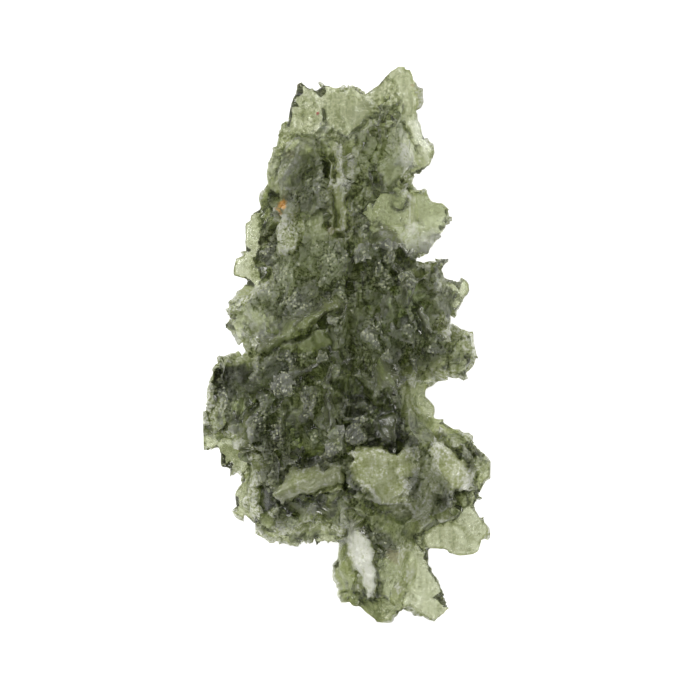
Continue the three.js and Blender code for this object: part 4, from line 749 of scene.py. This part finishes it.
def carveFaces(mesh):  # shapes the faces and creases, and notes tone, etching and haze at every point
    points, normals = vertexValues(mesh, "co"), vertexValues(mesh, "normal")
    upper = smoothStep(normals[:, 2], *stoneSizes["upperSide"])
    surface = BVHTree.FromPolygons(points.tolist(), [list(polygon.vertices) for polygon in mesh.polygons])
    starts = points - normals * stoneSizes["voxel"] / 10  # just inside the surface
    straightDown = np.tile((0.0, 0.0, -1.0), (len(points), 1))
    behind = glassBehind(surface, starts, -normals, stoneSizes["thickGlass"])
    under = glassBehind(surface, starts, straightDown, stoneSizes["sheenDepth"][1])
    places = strayed(points)
    lift = np.zeros(len(points))
    tone = np.zeros(len(points))
    bite = np.ones(len(points))
    haze = np.zeros(len(points))
    for face in faces.values():
        share = insideShare(places, face["outline"], stoneSizes["faceEdge"])
        tone += share * face["tone"]  # the glass is paler or darker all the way through; in the sunk hollows and pits the dark tone is painted shade
        bite += share * (face["etch"] - bite)
        haze += insideShare(places, face["outline"], stoneSizes["hazeEdge"]) * (face.get("haze", 0) - haze)
        share *= upper
        offset = places - np.mean(face["outline"], axis=0)
        plane = np.average(points[:, 2], weights=share) + offset @ np.array(face.get("tilt", (0, 0)))
        lift += share * (face.get("lift", 0) + face.get("flat", 0) * (plane - points[:, 2] - lift))
    for crease in creases.values():
        away = awayFromLine(places, crease["line"]) / crease["width"]
        rise = crease["height"] * np.clip(1 - away, 0, 1) ** stoneSizes["creasePower"] * upper
        lift += rise
        # painted highlight on raised creases, painted shade in grooves
        tone += rise * stoneSizes["creaseHighlightAndShade"]

    # Painted sheen: surfaces that face sideways are paled and hazed as if the bright surround lit them, most at
    # the thin rim, less in the middle, and less where the tone is dark
    sideSheen = smoothStep(np.hypot(normals[:, 0], normals[:, 1]), *stoneSizes["sheenSide"])
    sideSheen *= 1 - stoneSizes["sheenInner"] * smoothStep(under, *stoneSizes["sheenDepth"])
    sideSheen *= np.clip(1 + tone, 0, 1)
    haze = np.maximum(haze, sideSheen * stoneSizes["sheenHaze"])
    tone += sideSheen * stoneSizes["sheenTone"]
    points[:, 2] += np.maximum(lift, -stoneSizes["cutShare"] * behind)
    mesh.vertices.foreach_set("co", points.ravel())
    thin = stoneSizes["thinEtch"]
    bite *= thin + (1 - thin) * smoothStep(behind, stoneSizes["thinGlass"], stoneSizes["thickGlass"])
    for name, values in (("placeTone", tone), ("etch", bite), ("haze", haze)):
        setAttribute(mesh, name, values)
    mesh.update()
    print("faces and creases cut")


def etched(stone, material):  # the stone's mesh after the etching, with its material
    tree = etchingTree()
    etch = stone.modifiers.new("etch", "NODES")
    etch.node_group = tree
    inputs = {
        "Facet size": stoneSizes["facetSize"],
        "Facet tilt": stoneSizes["facetTilt"],
        "Cup size": stoneSizes["cupSize"],
        "Cup depth": stoneSizes["cupDepth"],
        "Small cup size": stoneSizes["smallCupSize"],
        "Small cup depth": stoneSizes["smallCupDepth"],
        "Flow size": stoneSizes["flowSize"],
        "Flow depth": stoneSizes["flowDepth"],
        "Stretch": stoneSizes["stretch"],
        "Wander": stoneSizes["wander"],
        "Seed": stoneSizes["seed"],
        "Material": material,
    }
    for socket in tree.interface.items_tree:
        if socket.in_out == "INPUT" and socket.name in inputs:
            etch[socket.identifier] = inputs[socket.name]
    return applied(stone, "etchedMoldavite")


def carveStone(node, material):
    stone = bpy.data.objects.new("etchedMoldavite", node.data.copy())
    bpy.context.scene.collection.objects.link(stone)
    carveFaces(remeshed(stone))
    mesh = etched(stone, material)
    bite = attributeValues(mesh, "etch")
    smooth = stoneSizes["smoothCrest"]
    # painted light: crests are paled, partly for frosting and partly as painted highlight, and crevices are
    # darkened as painted shade
    crest = crestShare(mesh) * (smooth + (1 - smooth) * np.minimum(bite, 1))
    tone = attributeValues(mesh, "placeTone") + stoneSizes["crestHighlightAndShade"] * crest
    setAttribute(mesh, "tone", np.clip(0.5 + 0.5 * tone, 0, 1))  # from -1 to 1 it becomes from 0 to 1

    # Fit the carved surface back into the CAD box, flat feet included, and turn it into metres.
    points = np.clip(vertexValues(mesh, "co") * mm, np.array(cadBox[0]), np.array(cadBox[1]))
    mesh.vertices.foreach_set("co", points.ravel())
    corners = np.array([polygon.vertices[0] for polygon in mesh.polygons])
    mesh.polygons.foreach_set("use_smooth", bite[corners] < stoneSizes["brokenFrom"])
    mesh.update()
    print("stone etched:", sum(len(p.vertices) - 2 for p in mesh.polygons), "triangles")
    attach(stone, "root")
    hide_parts("moldavite")


# Studio: a plain white floor, a white surround and large soft lamps

studio = {
    "floorSide": 0.8,
    "floorColour": "#ffffff",
    "floorRoughness": 0.9,
    "floorGlow": 0.82,
    "walls": 0.35,  # brightness of the white walls around the stone
    "ceiling": 0.12,
    # Height, as a share of straight up, over which the walls give way to the ceiling
    "wallTop": (0.45, 0.65),
    "lamps": {
        "softboxTopLeft": {"at": (-0.22, 0.18, 0.33), "side": 0.13, "watts": 0.74},
        "softboxTopRight": {"at": (0.24, 0.10, 0.33), "side": 0.08, "watts": 0.25},
        "softboxBelow": {"at": (0.04, -0.26, 0.33), "side": 0.08, "watts": 0.25},
    },
}


def buildFloor():
    floorMesh = bpy.data.meshes.new("floor")
    half = studio["floorSide"] / 2
    corners = [(-half, -half, 0), (half, -half, 0), (half, half, 0), (-half, half, 0)]
    floorMesh.from_pydata(corners, [], [(0, 1, 2, 3)])
    floor = bpy.data.objects.new("floor", floorMesh)
    bpy.context.scene.collection.objects.link(floor)
    white = bpy.data.materials.new("whiteBoard")
    white.use_nodes = True
    shader = white.node_tree.nodes["Principled BSDF"]
    shader.inputs["Base Color"].default_value = fromHex(studio["floorColour"])
    shader.inputs["Roughness"].default_value = studio["floorRoughness"]
    shader.inputs["Emission Color"].default_value = fromHex(studio["floorColour"])
    shader.inputs["Emission Strength"].default_value = studio["floorGlow"]
    floorMesh.materials.append(white)


def buildLight():
    world = bpy.data.worlds.new("whiteSurround")
    world.use_nodes = True
    tree = world.node_tree
    direction = addNode(tree, "ShaderNodeTexCoord").outputs["Generated"]
    height = addNode(tree, "ShaderNodeSeparateXYZ", links={0: direction}).outputs["Z"]
    low, high = studio["wallTop"]
    glow = addNode(tree, "ShaderNodeMapRange", {"interpolation_type": "SMOOTHSTEP"},
                   {"Value": height, "From Min": low, "From Max": high,
                    "To Min": studio["walls"], "To Max": studio["ceiling"]})
    tree.links.new(glow.outputs[0], tree.nodes["Background"].inputs["Strength"])
    tree.nodes["Background"].inputs["Color"].default_value = (1, 1, 1, 1)
    bpy.context.scene.world = world
    for name, lamp in studio["lamps"].items():
        light = bpy.data.lights.new(name, "AREA")
        light.size = lamp["side"]
        light.energy = lamp["watts"]
        holder = bpy.data.objects.new(name, light)
        holder.location = lamp["at"]
        holder.rotation_mode = "QUATERNION"
        holder.rotation_quaternion = (-Vector(lamp["at"])).to_track_quat("-Z", "Y")
        bpy.context.scene.collection.objects.link(holder)


def buildCamera():  # straight above the stone, as the photo looks at its face
    shot = {
        "lens": 200.0,
        "sensor": 36.0,
        "frameSide": 47.1 * mm,  # width of what the picture takes in
        "middle": (0.2 * mm, -0.37 * mm),
        "focusHeight": 4.2 * mm,
        "clip": (0.01, 10.0),
    }
    camera = bpy.data.cameras.new("camera")
    camera.lens = shot["lens"]
    camera.sensor_width = shot["sensor"]
    camera.clip_start, camera.clip_end = shot["clip"]
    holder = bpy.data.objects.new("camera", camera)
    distance = shot["frameSide"] * shot["lens"] / shot["sensor"]
    holder.location = (*shot["middle"], shot["focusHeight"] + distance)
    bpy.context.scene.collection.objects.link(holder)
    bpy.context.scene.camera = holder


carveStone(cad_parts["moldavite"], etchedGlass())
buildFloor()
buildLight()
buildCamera()
bpy.context.scene.view_settings.view_transform = "Standard"
print("studio and camera set")
